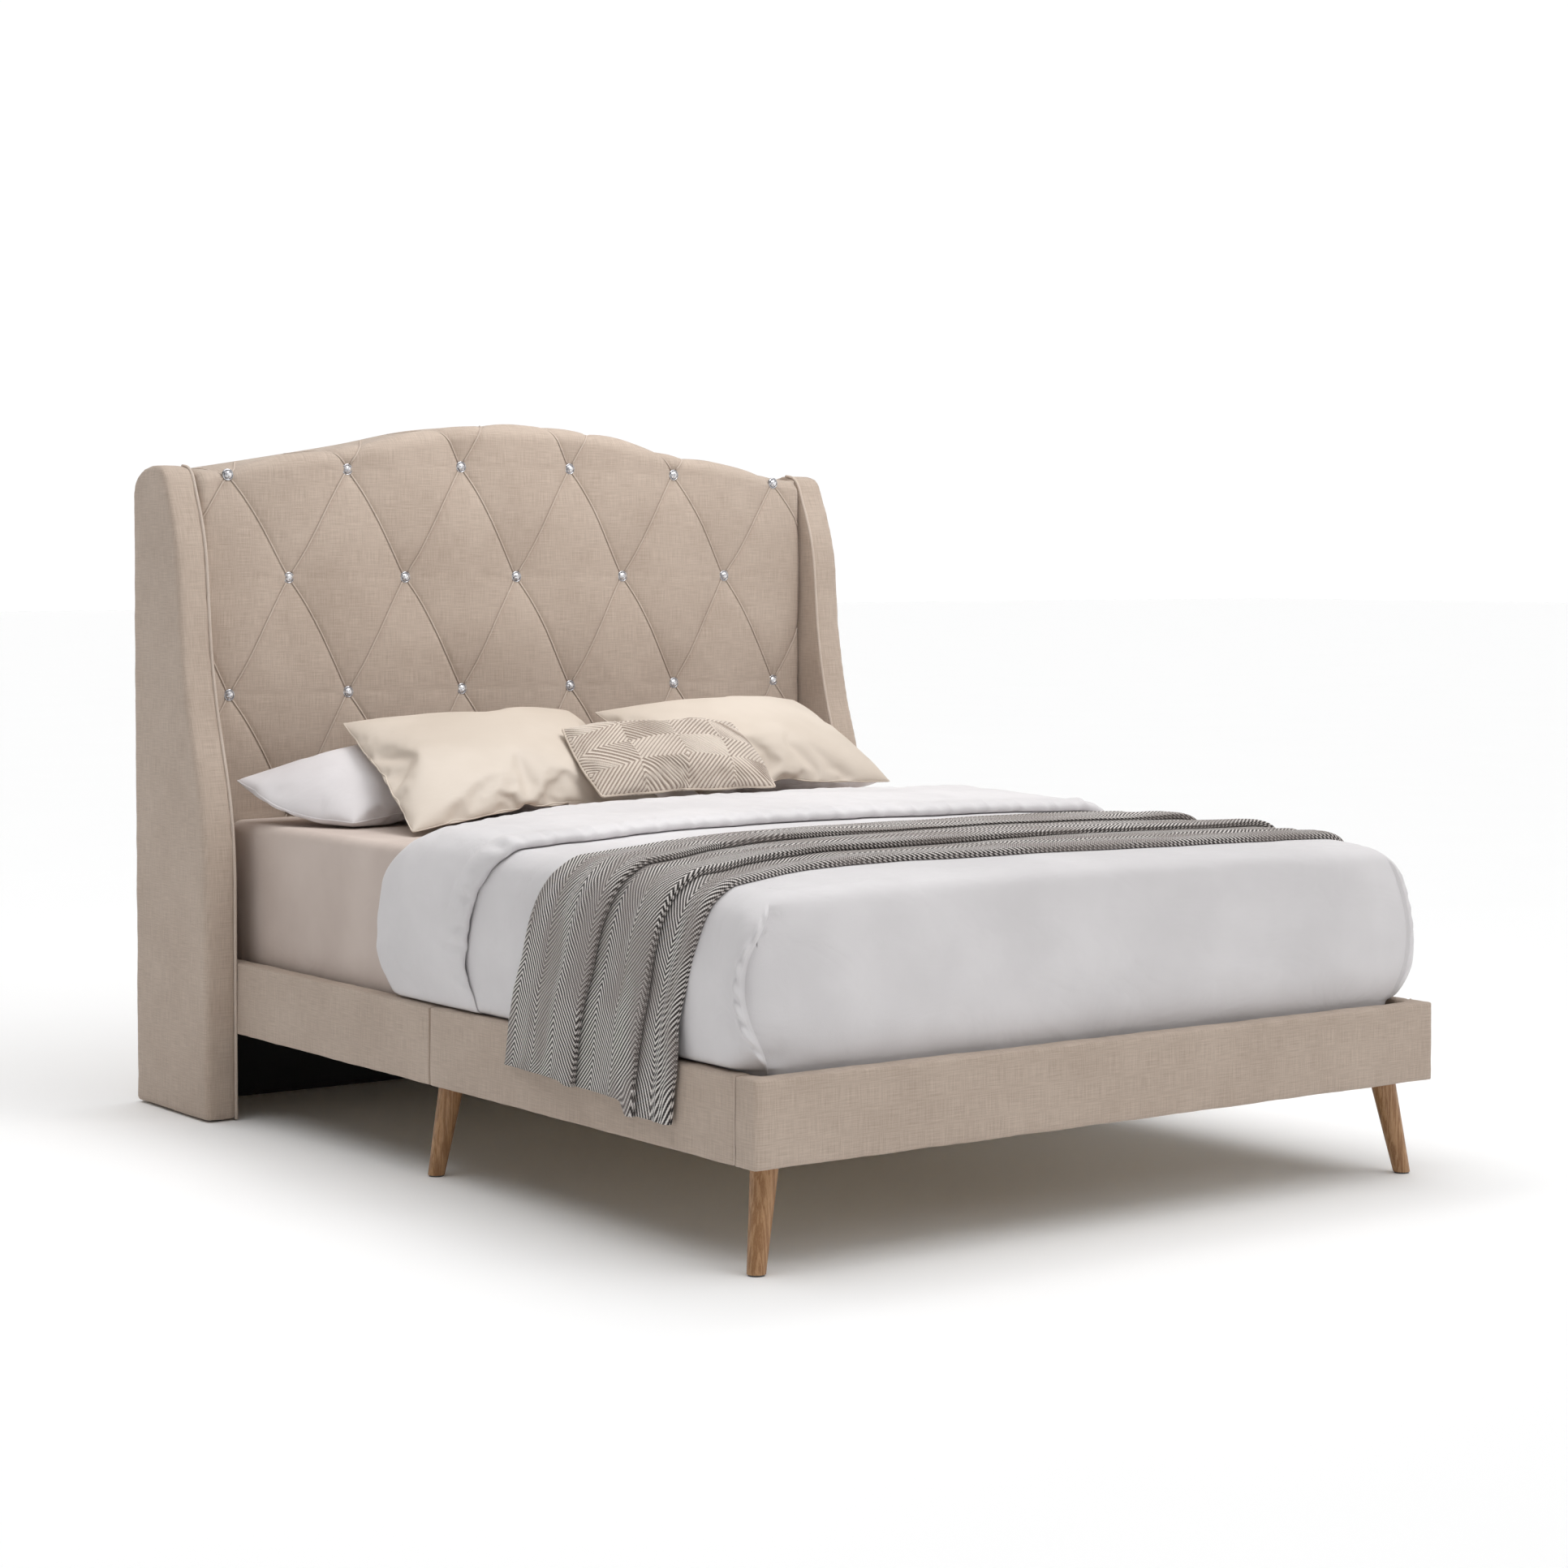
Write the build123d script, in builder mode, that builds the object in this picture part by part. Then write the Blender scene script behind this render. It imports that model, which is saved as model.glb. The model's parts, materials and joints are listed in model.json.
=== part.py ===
"""Queen-size upholstered bed with a tufted camel-back headboard, wings, splayed legs and its bedding.

Millimetres. The origin is on the floor under the middle of the bed's box. +X is the right-hand side
seen from the foot, +Y points from the foot to the headboard and +Z is up.
"""

import os

from build123d import *

os.makedirs("parts", exist_ok=True)

# Overall
LENGTH = 2267.0  # foot rail's outer face to the wings' back
FOOT = -LENGTH / 2  # the foot rail's outer face
BACK = LENGTH / 2  # the wings' back face, which stands against a wall
GLIDE = 3.0  # thickness of the nylon glides under wings and legs
GAP = 0.3  # clearance between faces of pieces that only lie near each other
SIDES = ((-1, "left"), (1, "right"))

# Rails: a board wrapped in a padded cover
RAIL_OUT = 810.0  # half the width over the side rails, and the wings' inner faces
RAIL_THICK = 38.0
RAIL_IN = RAIL_OUT - RAIL_THICK
RAIL_LOW = 185.5
RAIL_TOP = 338.5
COVER = 6.0  # cover and padding over a board
FOOT_RETURN = FOOT + 62.0  # where the foot rail's cover ends round the corner
SEAM = FOOT + 1090.7  # joint of the two halves of a side rail
RAIL_HEAD = FOOT + 2149.5
SEAM_GAP = 1.0

# Headboard, from front to back
PAD_FRONT = FOOT + 2087.0
BUTTON_SEAT = FOOT + 2106.0
PANEL_FRONT = FOOT + 2150.0
PANEL_THICK = 12.0
FRAME_BACK = FOOT + 2262.0
BACK_CLOTH = 2.0
PAD_LOW = 345.0
KICK_LOW = 8.0
HEAD_HALF = 808.0  # half the pad's width, just inside the wings
FRAME_HALF = 806.0
STILE = 40.0
BORDER = 18.0  # padding over the top rail
TOP_RAIL = 40.0
# The camel-back edge from the middle to the wing, as (half width, height)
CREST = ((0, 1508), (200, 1496), (380, 1461), (560, 1431), (HEAD_HALF, 1392))

# Buttons: rows alternate between six and five, one pitch apart
BUTTON_PITCH = 293.1
BUTTON_ROWS = (  # heights of the buttons at 0.5, 1.5, 2.5 or at 0, 1, 2 pitches from the middle
    (0.5, (1410.0, 1400.0, 1384.0)),
    (0.0, (1158.4, 1158.4, 1158.4)),
    (0.5, (902.2, 902.2, 902.2)),
    (0.0, (645.0, 645.0, 645.0)),
)
RIM_RADIUS = 13.0
RIM_THICK = 5.0
STONE_RADIUS = 10.2
STONE_HEIGHT = 8.0

# Wings
WING_THICK = 73.0
WING_OUT = RAIL_OUT + WING_THICK
WING_FRONT = FOOT + 1914.5
WING_PLY = 9.0
# The wing's edge above its straight front: along the bed, up, and the direction into the wing
WING_EDGE = (
    (FOOT + 1934, 680, 1, 0),
    (FOOT + 1993, 870, 1, 0),
    (FOOT + 2030, 1070, 1, 0),
    (FOOT + 2060, 1270, 1, 0),
    (FOOT + 2098, 1360, 0.8, -0.6),
    (FOOT + 2160, 1403, 0, -1),
    (BACK - 32, 1388, -0.6, -0.8),
    (BACK, 1340, -1, 0),
)
WELT = 7.0
WELT_END = FOOT + 2160.0  # the welt stops at the top of the crown
WING_GLIDES = (FOOT + 1945.0, BACK - 32.0)
SPACER_JOINTS = (60.0, 480.0, 900.0, 1290.0)  # heights where one spacer strip meets the next
SPACER_GAP = 4.0

# Bolts
BOLT_RADIUS = 4.0
BOLT_HOLE = 4.2
BOLT_HEAD_RADIUS = 7.0
BOLT_HEAD = 5.0
WING_BOLT_HEIGHTS = (420.0, 800.0, 1200.0)
WING_BOLT_Y = FOOT + 2212.0
RAIL_BOLT_HEIGHT = 224.0
BLOCK_BOLTS = (FOOT + 74.0, FOOT + 100.0, FOOT + 1066.0, FOOT + 1154.0)  # through the leg blocks
BRACKET_BOLTS = (FOOT + 2095.0, FOOT + 2125.0)  # through the brackets at the headboard
SIDE_BOLTS = BLOCK_BOLTS + BRACKET_BOLTS
INSERT_DEPTH = 18.0  # how far a bolt reaches into a rail board

# Legs: (half width, distance from the foot) of the foot's centre and of the top's centre
LEG_FEET = ((774.6, 48.5), (774.6, 1125.7))
LEG_TOPS = ((741.6, 70.5), (737.1, 1125.7))
LEG_NAMES = ("foot", "mid")
LEG_FOOT_RADIUS = 16.5
LEG_TOP_RADIUS = 25.0
LEG_PLATE = 3.0
LEG_PLATE_SIZE = 62.0
BLOCK_TOP = 260.0
BLOCK_IN = 700.0
BLOCK_SPANS = ((38.0, 112.0), (1050.0, 1170.0))  # along the bed, from the foot
HANGER_LOW = 150.0
HANGER_TOP = 214.0

# Brackets between the side rails and the headboard
BRACKET = 3.0
BRACKET_REACH = 70.0
BRACKET_WIDTH = 60.0
BRACKET_HEIGHTS = (200.0, 250.0)

# Mattress support
LEDGER_WIDTH = 25.0
LEDGER_TOP = 290.0
SLAT_COUNT = 13
SLAT_FIRST = FOOT + 110.0
SLAT_LAST = FOOT + 2020.0
SLAT_WIDTH = 70.0
SLAT_LOW = 292.0
SLAT_TOP = 310.0
SLAT_HALF = 768.0
CAP_WALL = 2.0
CAP_IN = 730.0
BEAM_HALF = 22.5
BEAM_HEIGHT = 50.0
SOCKET = 3.0
CENTRE_LEGS = (("front", FOOT + 1125.7), ("back", FOOT + 1650.0))
CENTRE_LEG_HALF = 22.5
CENTRE_LEG_LOW = 20.0
STUD_RADIUS = 5.0
STUD_HOLE = 5.06
STUD_TOP = 50.0
FOOT_DISC = 8.0

# Bedding
MATTRESS_HALF = 762.0
MATTRESS_FOOT = FOOT + 62.0
MATTRESS_LENGTH = 2020.0
MATTRESS_LOW = 312.5
MATTRESS_TOP = 630.0
MATTRESS_CORNER = 60.0
MATTRESS_WALL = 16.0  # ticking and foam round the sprung core, which is mostly air
SHEET = 2.0
DUVET_HALF = 800.0
DUVET_FOOT = FOOT + 50.0
DUVET_HEAD = FOOT + 1400.0
DUVET_TOP = 650.0
CUFF_FOOT = FOOT + 935.0
CUFF_TOP = 692.0
THROW_SPAN = (FOOT + 200.0, FOOT + 825.0)
THROW_THICK = 11.0
THROW_HEM = 240.0
PILLOW_WALL = 5.0
# size, tilt about X in degrees, and centre (across, from the foot, up) of each kind
WHITE_PILLOW = ((686, 422, 168), 0, (461, 1871, 718.5))
CREAM_PILLOW = ((640, 470, 130), 22, (342, 1690, 777))
KNIT_CUSHION = ((455, 270, 90), 41, (8, 1528, 788))
PILLOW_CLEAR = 2.0  # between pillows that lie on each other
PILLOW_LIFTS = (0, 30, 60, 90)


def save(piece, name):
    """Labels the finished piece and writes its STEP file."""
    piece.part.label = name
    export_step(piece.part, f"parts/{name}.step")


def slab(x, y, z, mode=Mode.ADD):
    """A box between two limits on each axis."""
    middle = tuple((low + high) / 2 for low, high in (x, y, z))
    with Locations(middle):
        Box(x[1] - x[0], y[1] - y[0], z[1] - z[0], mode=mode)


def span(side, near, far):
    """The limits across the bed of a piece between two distances from the middle."""
    return tuple(sorted((side * near, side * far)))


def rod_x(x, y, z, radius, mode=Mode.ADD):
    """A round rod along X between two limits."""
    with Locations(Location(((x[0] + x[1]) / 2, y, z), (0, 90, 0))):
        Cylinder(radius, x[1] - x[0], mode=mode)


def rod_z(x, y, z, radius, mode=Mode.ADD):
    """A round rod along Z between two limits."""
    with Locations((x, y, (z[0] + z[1]) / 2)):
        Cylinder(radius, z[1] - z[0], mode=mode)


# ---------------------------------------------------------------- headboard


def camel_back(drop, half, low):
    """The headboard's outline in XZ, its top edge lowered by drop."""
    right = [(x * half / HEAD_HALF, z - drop) for x, z in CREST]
    left = [(-x, z) for x, z in reversed(right[1:])]
    with BuildSketch(Plane.XZ) as outline:
        with BuildLine():
            crest = Spline(*left, *right)
            Polyline(crest @ 1, (half, low), (-half, low), crest @ 0)
        make_face()
    return outline.sketch


def layer(outline, front, back, mode=Mode.ADD):
    """Extrudes an outline drawn in XZ from its front to its back."""
    placed = outline.moved(Location((0, front, 0)))
    extrude(placed, amount=back - front, dir=(0, 1, 0), mode=mode)


button_places = [
    (side * (first + step) * BUTTON_PITCH, z)
    for first, heights in BUTTON_ROWS
    for step, z in enumerate(heights)
    for side in (-1, 1)
    if first + step > 0 or side > 0
]
panel_back = PANEL_FRONT + PANEL_THICK

with BuildPart() as headboard_pad:
    layer(camel_back(0, HEAD_HALF, PAD_LOW), PAD_FRONT, PANEL_FRONT)
    layer(camel_back(0, HEAD_HALF, PAD_LOW), PANEL_FRONT, FRAME_BACK)
    layer(camel_back(BORDER, HEAD_HALF + 1, PAD_LOW - 1), PANEL_FRONT, FRAME_BACK, Mode.SUBTRACT)
    for x, z in button_places:
        with Locations(Location((x, (PAD_FRONT + BUTTON_SEAT) / 2, z), (90, 0, 0))):
            Cone(RIM_RADIUS + GAP, RIM_RADIUS + 5, BUTTON_SEAT - PAD_FRONT, mode=Mode.SUBTRACT)
save(headboard_pad, "headboard_pad")

with BuildPart() as headboard_panel:
    layer(camel_back(BORDER, FRAME_HALF, PAD_LOW), PANEL_FRONT, panel_back)
save(headboard_panel, "headboard_panel")

with BuildPart() as top_rail:
    layer(camel_back(BORDER, FRAME_HALF, PAD_LOW), panel_back, FRAME_BACK)
    under_rail = camel_back(BORDER + TOP_RAIL, FRAME_HALF + 1, PAD_LOW - 1)
    layer(under_rail, panel_back, FRAME_BACK, Mode.SUBTRACT)
save(top_rail, "headboard_top_rail")

stile_top = CREST[-1][1] - BORDER - TOP_RAIL - 2
with BuildPart() as stiles:
    for side, _ in SIDES:
        stile_span = span(side, FRAME_HALF - STILE, FRAME_HALF)
        slab(stile_span, (panel_back, FRAME_BACK), (KICK_LOW, stile_top))
        for z in WING_BOLT_HEIGHTS:
            rod_x(stile_span, WING_BOLT_Y, z, BOLT_HOLE, Mode.SUBTRACT)
save(stiles, "headboard_stiles")

for name, low, high in (("middle", 640.0, 690.0), ("bottom", 225.0, 325.0)):
    with BuildPart() as cross_rail:
        reach = FRAME_HALF - STILE
        slab((-reach, reach), (panel_back, FRAME_BACK), (low, high))
    save(cross_rail, f"headboard_{name}_rail")

kick_cloth_back = PANEL_FRONT + BACK_CLOTH
with BuildPart() as kick_board:
    slab((-FRAME_HALF, FRAME_HALF), (kick_cloth_back, panel_back), (KICK_LOW, PAD_LOW))
save(kick_board, "headboard_kick_board")

with BuildPart() as kick_cloth:
    slab((-FRAME_HALF, FRAME_HALF), (PANEL_FRONT, kick_cloth_back), (KICK_LOW, PAD_LOW))
save(kick_cloth, "headboard_kick_cloth")

with BuildPart() as back_cloth:
    layer(camel_back(0, HEAD_HALF, KICK_LOW), FRAME_BACK, FRAME_BACK + BACK_CLOTH)
save(back_cloth, "headboard_back_cloth")

seat_places = [Location((x, BUTTON_SEAT, z), (90, 0, 0)) for x, z in button_places]
upward = (Align.CENTER, Align.CENTER, Align.MIN)
with BuildPart() as button_rims:
    with Locations(*seat_places):
        Cylinder(RIM_RADIUS, RIM_THICK, align=upward)
    with Locations(*[place * Location((0, 0, RIM_THICK / 2)) for place in seat_places]):
        Cylinder(STONE_RADIUS + GAP, RIM_THICK, align=upward, mode=Mode.SUBTRACT)
save(button_rims, "button_rims")

with BuildPart() as button_stones:
    for place in seat_places:
        with BuildSketch(Plane(place * Location((0, 0, RIM_THICK / 2)))):
            RegularPolygon(STONE_RADIUS, 10)
        extrude(amount=STONE_HEIGHT, taper=30)
save(button_stones, "button_stones")

# ---------------------------------------------------------------- wings


def wing_outline(inset):
    """A wing's side view in YZ, drawn in from its finished edge by inset."""
    low = GLIDE + max(inset, 0)
    edge = [(y + inset * in_y, z + inset * in_z) for y, z, in_y, in_z in WING_EDGE]
    rise, crown_end = edge[:6], edge[6:]
    with BuildSketch(Plane.YZ) as outline:
        with BuildLine():
            front = Polyline((WING_FRONT + inset, low), (WING_FRONT + inset, 490))
            sweep_up = Spline(front @ 1, *rise, tangents=((0, 1), (1, 0)))
            crown = Spline(sweep_up @ 1, *crown_end, tangents=((1, 0), (0, -1)))
            Polyline(crown @ 1, (BACK - inset, low), front @ 0)
        make_face()
    return outline.sketch


def wing_hollow():
    """The space between a wing's spacer strips, in YZ."""
    front = WING_FRONT + COVER + 40
    back = BACK - COVER - 40
    with BuildSketch(Plane.YZ) as hollow:
        with BuildLine():
            Polyline(
                (front, 50), (front, 500), (FOOT + 2112, 1310), (back, 1310), (back, 50),
                close=True,
            )
        make_face()
    return hollow.sketch


def across(outline, side, near, far, mode=Mode.ADD):
    """Extrudes an outline drawn in YZ between two distances from the middle."""
    placed = outline.moved(Location((side * near, 0, 0)))
    extrude(placed, amount=far - near, dir=(side, 0, 0), mode=mode)


wing_cover_profile = wing_outline(0)
wing_board_profile = wing_outline(COVER)
wing_welt_profile = wing_outline(-GAP - WELT)
wing_clear_profile = wing_outline(-GAP)
wing_in = RAIL_OUT + COVER
wing_out = WING_OUT - COVER
wing_middle = (RAIL_OUT + WING_OUT) / 2

for side, word in SIDES:
    with BuildPart() as wing_cover:
        across(wing_cover_profile, side, RAIL_OUT, WING_OUT)
        across(wing_board_profile, side, wing_in, wing_out, Mode.SUBTRACT)
        for z in WING_BOLT_HEIGHTS:
            rod_x(span(side, RAIL_OUT, wing_in), WING_BOLT_Y, z, BOLT_HOLE, Mode.SUBTRACT)
    save(wing_cover, f"wing_cover_{word}")

    with BuildPart() as boards:
        across(wing_board_profile, side, wing_in, wing_in + WING_PLY)
        for z in WING_BOLT_HEIGHTS:
            rod_x(span(side, wing_in, wing_in + WING_PLY), WING_BOLT_Y, z, BOLT_HOLE, Mode.SUBTRACT)
        across(wing_board_profile, side, wing_out - WING_PLY, wing_out)
    save(boards, f"wing_boards_{word}")

    with BuildPart() as spacers:
        inside = (wing_in + WING_PLY, wing_out - WING_PLY)
        across(wing_board_profile, side, *inside)
        across(wing_hollow(), side, *inside, Mode.SUBTRACT)
        for z in SPACER_JOINTS:
            slab(span(side, *inside), (FOOT, BACK), (z, z + SPACER_GAP), Mode.SUBTRACT)
    save(spacers, f"wing_spacers_{word}")

    with BuildPart() as welt:
        across(wing_welt_profile, side, RAIL_OUT + 1, RAIL_OUT + 1 + WELT)
        across(wing_clear_profile, side, RAIL_OUT, RAIL_OUT + 2 + WELT, Mode.SUBTRACT)
        across_wings = (-WING_OUT, WING_OUT)
        slab(across_wings, (FOOT, BACK + WELT * 2), (-WELT * 2, GLIDE + 1), Mode.SUBTRACT)
        slab(across_wings, (WELT_END, BACK + WELT * 2), (-WELT * 2, CREST[0][1]), Mode.SUBTRACT)
    save(welt, f"wing_welt_{word}")

with BuildPart() as wing_glides:
    for side, _ in SIDES:
        for y in WING_GLIDES:
            rod_z(side * wing_middle, y, (0, GLIDE), 12)
save(wing_glides, "wing_glides")

stile_in = FRAME_HALF - STILE
with BuildPart() as wing_bolts:
    for side, _ in SIDES:
        for z in WING_BOLT_HEIGHTS:
            rod_x(span(side, stile_in, wing_in + WING_PLY), WING_BOLT_Y, z, BOLT_RADIUS)
            rod_x(span(side, stile_in - BOLT_HEAD, stile_in), WING_BOLT_Y, z, BOLT_HEAD_RADIUS)
save(wing_bolts, "wing_bolts")

# ---------------------------------------------------------------- rails

rail_heights = (RAIL_LOW, RAIL_TOP)
board_heights = (RAIL_LOW + COVER, RAIL_TOP - COVER)
board_in = RAIL_IN + COVER
board_out = RAIL_OUT - COVER
foot_rail_in = FOOT + RAIL_THICK
half_spans = (
    ("foot", FOOT_RETURN, SEAM - SEAM_GAP / 2),
    ("head", SEAM + SEAM_GAP / 2, RAIL_HEAD),
)

for side, word in SIDES:
    with BuildPart() as rail_boards:
        for _, low, high in half_spans:
            slab(span(side, board_in, board_out), (low, high), board_heights)
        for y in SIDE_BOLTS:
            depth = span(side, board_in, board_in + INSERT_DEPTH)
            rod_x(depth, y, RAIL_BOLT_HEIGHT, BOLT_HOLE, Mode.SUBTRACT)
    save(rail_boards, f"side_rail_boards_{word}")

    for half, low, high in half_spans:
        bolts = [y for y in SIDE_BOLTS if low < y < high]
        with BuildPart() as cover:
            slab(span(side, RAIL_IN, RAIL_OUT), (low, high), rail_heights)
            slab(span(side, board_in, board_out), (low, high), board_heights, Mode.SUBTRACT)
            for y in bolts:
                rod_x(span(side, RAIL_IN, board_in), y, RAIL_BOLT_HEIGHT, BOLT_HOLE, Mode.SUBTRACT)
        save(cover, f"side_rail_cover_{word}_{half}")

with BuildPart() as foot_board:
    slab((-board_out, board_out), (FOOT + COVER, foot_rail_in - COVER), board_heights)
save(foot_board, "foot_rail_board")

return_end = FOOT_RETURN - SEAM_GAP
with BuildPart() as foot_cover:
    slab((-RAIL_OUT, RAIL_OUT), (FOOT, foot_rail_in), rail_heights)
    for side, _ in SIDES:
        slab(span(side, RAIL_IN, RAIL_OUT), (foot_rail_in, return_end), rail_heights)
        slab(span(side, board_in, board_out), (FOOT + COVER, return_end), board_heights, Mode.SUBTRACT)
    slab((-board_out, board_out), (FOOT + COVER, foot_rail_in - COVER), board_heights, Mode.SUBTRACT)
save(foot_cover, "foot_rail_cover")

with BuildPart() as corner_posts:
    for side, _ in SIDES:
        slab(span(side, board_in, board_out), (foot_rail_in - COVER, return_end), board_heights)
save(corner_posts, "foot_corner_posts")

with BuildPart() as ledgers:
    for side, _ in SIDES:
        for _, low, high in half_spans:
            ends = (max(low, foot_rail_in) + 2, high - 2)
            slab(span(side, RAIL_IN - LEDGER_WIDTH, RAIL_IN), ends, (BLOCK_TOP, LEDGER_TOP))
save(ledgers, "side_ledgers")

# ---------------------------------------------------------------- legs

for (foot_x, foot_y), (top_x, top_y), place in zip(LEG_FEET, LEG_TOPS, LEG_NAMES):
    for side, word in SIDES:
        with BuildPart() as leg:
            with BuildSketch(Plane.XY.offset(GLIDE)):
                with Locations((side * foot_x, FOOT + foot_y)):
                    Circle(LEG_FOOT_RADIUS)
            with BuildSketch(Plane.XY.offset(RAIL_LOW)):
                with Locations((side * top_x, FOOT + top_y)):
                    Circle(LEG_TOP_RADIUS)
            loft()
            rod_z(side * top_x, FOOT + top_y, (HANGER_LOW, RAIL_LOW), BOLT_HOLE, Mode.SUBTRACT)
        save(leg, f"leg_{place}_{word}")

leg_spots = [
    (side, foot, top) for foot, top in zip(LEG_FEET, LEG_TOPS) for side, _ in SIDES
]
block_heights = (RAIL_LOW + LEG_PLATE, BLOCK_TOP)
with BuildPart() as leg_blocks:
    for side, _ in SIDES:
        for low, high in BLOCK_SPANS:
            slab(span(side, BLOCK_IN, RAIL_IN), (FOOT + low, FOOT + high), block_heights)
    for side, _, (x, y) in leg_spots:
        rod_z(side * x, FOOT + y, (block_heights[0], HANGER_TOP), BOLT_HOLE, Mode.SUBTRACT)
    for side, _ in SIDES:
        for y in BLOCK_BOLTS:
            rod_x(span(side, BLOCK_IN, RAIL_IN), y, RAIL_BOLT_HEIGHT, BOLT_HOLE, Mode.SUBTRACT)
save(leg_blocks, "leg_blocks")

with BuildPart() as leg_plates:
    for side, _, (x, y) in leg_spots:
        half = LEG_PLATE_SIZE / 2
        across_bed = span(side, x - half, min(x + half, RAIL_IN - GAP))
        slab(across_bed, (FOOT + y - half, FOOT + y + half), (RAIL_LOW, RAIL_LOW + LEG_PLATE))
        rod_z(side * x, FOOT + y, (RAIL_LOW, RAIL_LOW + LEG_PLATE), BOLT_HOLE, Mode.SUBTRACT)
save(leg_plates, "leg_plates")

with BuildPart() as hanger_bolts:
    for side, _, (x, y) in leg_spots:
        rod_z(side * x, FOOT + y, (HANGER_LOW, HANGER_TOP), BOLT_RADIUS)
save(hanger_bolts, "leg_hanger_bolts")

with BuildPart() as leg_glides:
    for side, (x, y), _ in leg_spots:
        rod_z(side * x, FOOT + y, (0, GLIDE), LEG_FOOT_RADIUS - 2)
save(leg_glides, "leg_glides")

bracket_front = PANEL_FRONT - BRACKET
with BuildPart() as head_brackets:
    for side, _ in SIDES:
        arm = span(side, RAIL_IN - BRACKET, RAIL_IN)
        plate = span(side, RAIL_IN - BRACKET_WIDTH, RAIL_IN)
        slab(plate, (bracket_front, PANEL_FRONT), BRACKET_HEIGHTS)
        slab(arm, (bracket_front - BRACKET_REACH, bracket_front), BRACKET_HEIGHTS)
        for y in BRACKET_BOLTS:
            rod_x(arm, y, RAIL_BOLT_HEIGHT, BOLT_HOLE, Mode.SUBTRACT)
save(head_brackets, "head_brackets")

with BuildPart() as rail_bolts:
    for side, _ in SIDES:
        for y in SIDE_BOLTS:
            seat = RAIL_IN - BRACKET if y in BRACKET_BOLTS else BLOCK_IN
            rod_x(span(side, seat, board_in + INSERT_DEPTH), y, RAIL_BOLT_HEIGHT, BOLT_RADIUS)
            rod_x(span(side, seat - BOLT_HEAD, seat), y, RAIL_BOLT_HEIGHT, BOLT_HEAD_RADIUS)
save(rail_bolts, "rail_bolts")

# ---------------------------------------------------------------- mattress support

beam_ends = (foot_rail_in + SOCKET, PANEL_FRONT - SOCKET)
with BuildPart() as beam:
    slab((-BEAM_HALF, BEAM_HALF), beam_ends, (SLAT_LOW - BEAM_HEIGHT, SLAT_LOW))
save(beam, "centre_beam")

with BuildPart() as sockets:
    for low, high, lip in (
        (foot_rail_in, beam_ends[0], beam_ends[0] + 30),
        (beam_ends[1], PANEL_FRONT, beam_ends[1] - 30),
    ):
        floor_of_socket = SLAT_LOW - BEAM_HEIGHT
        slab((-BEAM_HALF - 20, BEAM_HALF + 20), (low, high), (floor_of_socket - SOCKET, SLAT_LOW))
        under = tuple(sorted((lip, high if lip < low else low)))
        socket_span = (-BEAM_HALF - SOCKET, BEAM_HALF + SOCKET)
        slab(socket_span, under, (floor_of_socket - SOCKET, floor_of_socket))
save(sockets, "beam_sockets")

for word, y in CENTRE_LEGS:
    with BuildPart() as centre_leg:
        half = CENTRE_LEG_HALF
        slab((-half, half), (y - half, y + half), (CENTRE_LEG_LOW, SLAT_LOW - BEAM_HEIGHT))
        rod_z(0, y, (CENTRE_LEG_LOW, STUD_TOP + 12), STUD_HOLE, Mode.SUBTRACT)
    save(centre_leg, f"centre_leg_{word}")

    with BuildPart() as levelling_foot:
        rod_z(0, y, (0, FOOT_DISC), 18)
        rod_z(0, y, (FOOT_DISC, STUD_TOP), STUD_RADIUS)
    save(levelling_foot, f"levelling_foot_{word}")

slat_step = (SLAT_LAST - SLAT_FIRST) / (SLAT_COUNT - 1)
slat_ys = [SLAT_FIRST + slat_step * i for i in range(SLAT_COUNT)]
with BuildPart() as slats:
    for y in slat_ys:
        slab((-SLAT_HALF, SLAT_HALF), (y - SLAT_WIDTH / 2, y + SLAT_WIDTH / 2), (SLAT_LOW, SLAT_TOP))
save(slats, "slats")

with BuildPart() as slat_caps:
    reach = SLAT_WIDTH / 2
    for side, _ in SIDES:
        for y in slat_ys:
            outer = (y - reach - CAP_WALL, y + reach + CAP_WALL)
            slab(span(side, CAP_IN, SLAT_HALF + CAP_WALL), outer, (LEDGER_TOP, SLAT_TOP + CAP_WALL))
            socket = span(side, CAP_IN, SLAT_HALF)
            slab(socket, (y - reach, y + reach), (SLAT_LOW, SLAT_TOP), Mode.SUBTRACT)
save(slat_caps, "slat_end_caps")

# ---------------------------------------------------------------- mattress and bedding

mattress_head = MATTRESS_FOOT + MATTRESS_LENGTH
mattress_middle = (MATTRESS_FOOT + mattress_head) / 2


def mattress_block(grow, low, high, mode=Mode.ADD):
    """A block with the mattress's rounded plan, grown by a margin on every side."""
    with BuildSketch(Plane.XY.offset(low)) as plan:
        with Locations((0, mattress_middle)):
            RectangleRounded(
                2 * (MATTRESS_HALF + grow), MATTRESS_LENGTH + 2 * grow, MATTRESS_CORNER + grow
            )
    extrude(plan.sketch, amount=high - low, dir=(0, 0, 1), mode=mode)


with BuildPart() as mattress:
    mattress_block(0, MATTRESS_LOW, MATTRESS_TOP)
    core_low, core_top = MATTRESS_LOW + MATTRESS_WALL, MATTRESS_TOP - MATTRESS_WALL
    mattress_block(-MATTRESS_WALL, core_low, core_top, Mode.SUBTRACT)
save(mattress, "mattress")

with BuildPart() as fitted_sheet:
    mattress_block(GAP + SHEET, MATTRESS_LOW + 1, MATTRESS_TOP + SHEET)
    mattress_block(GAP, MATTRESS_LOW, MATTRESS_TOP, Mode.SUBTRACT)
save(fitted_sheet, "fitted_sheet")

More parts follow.
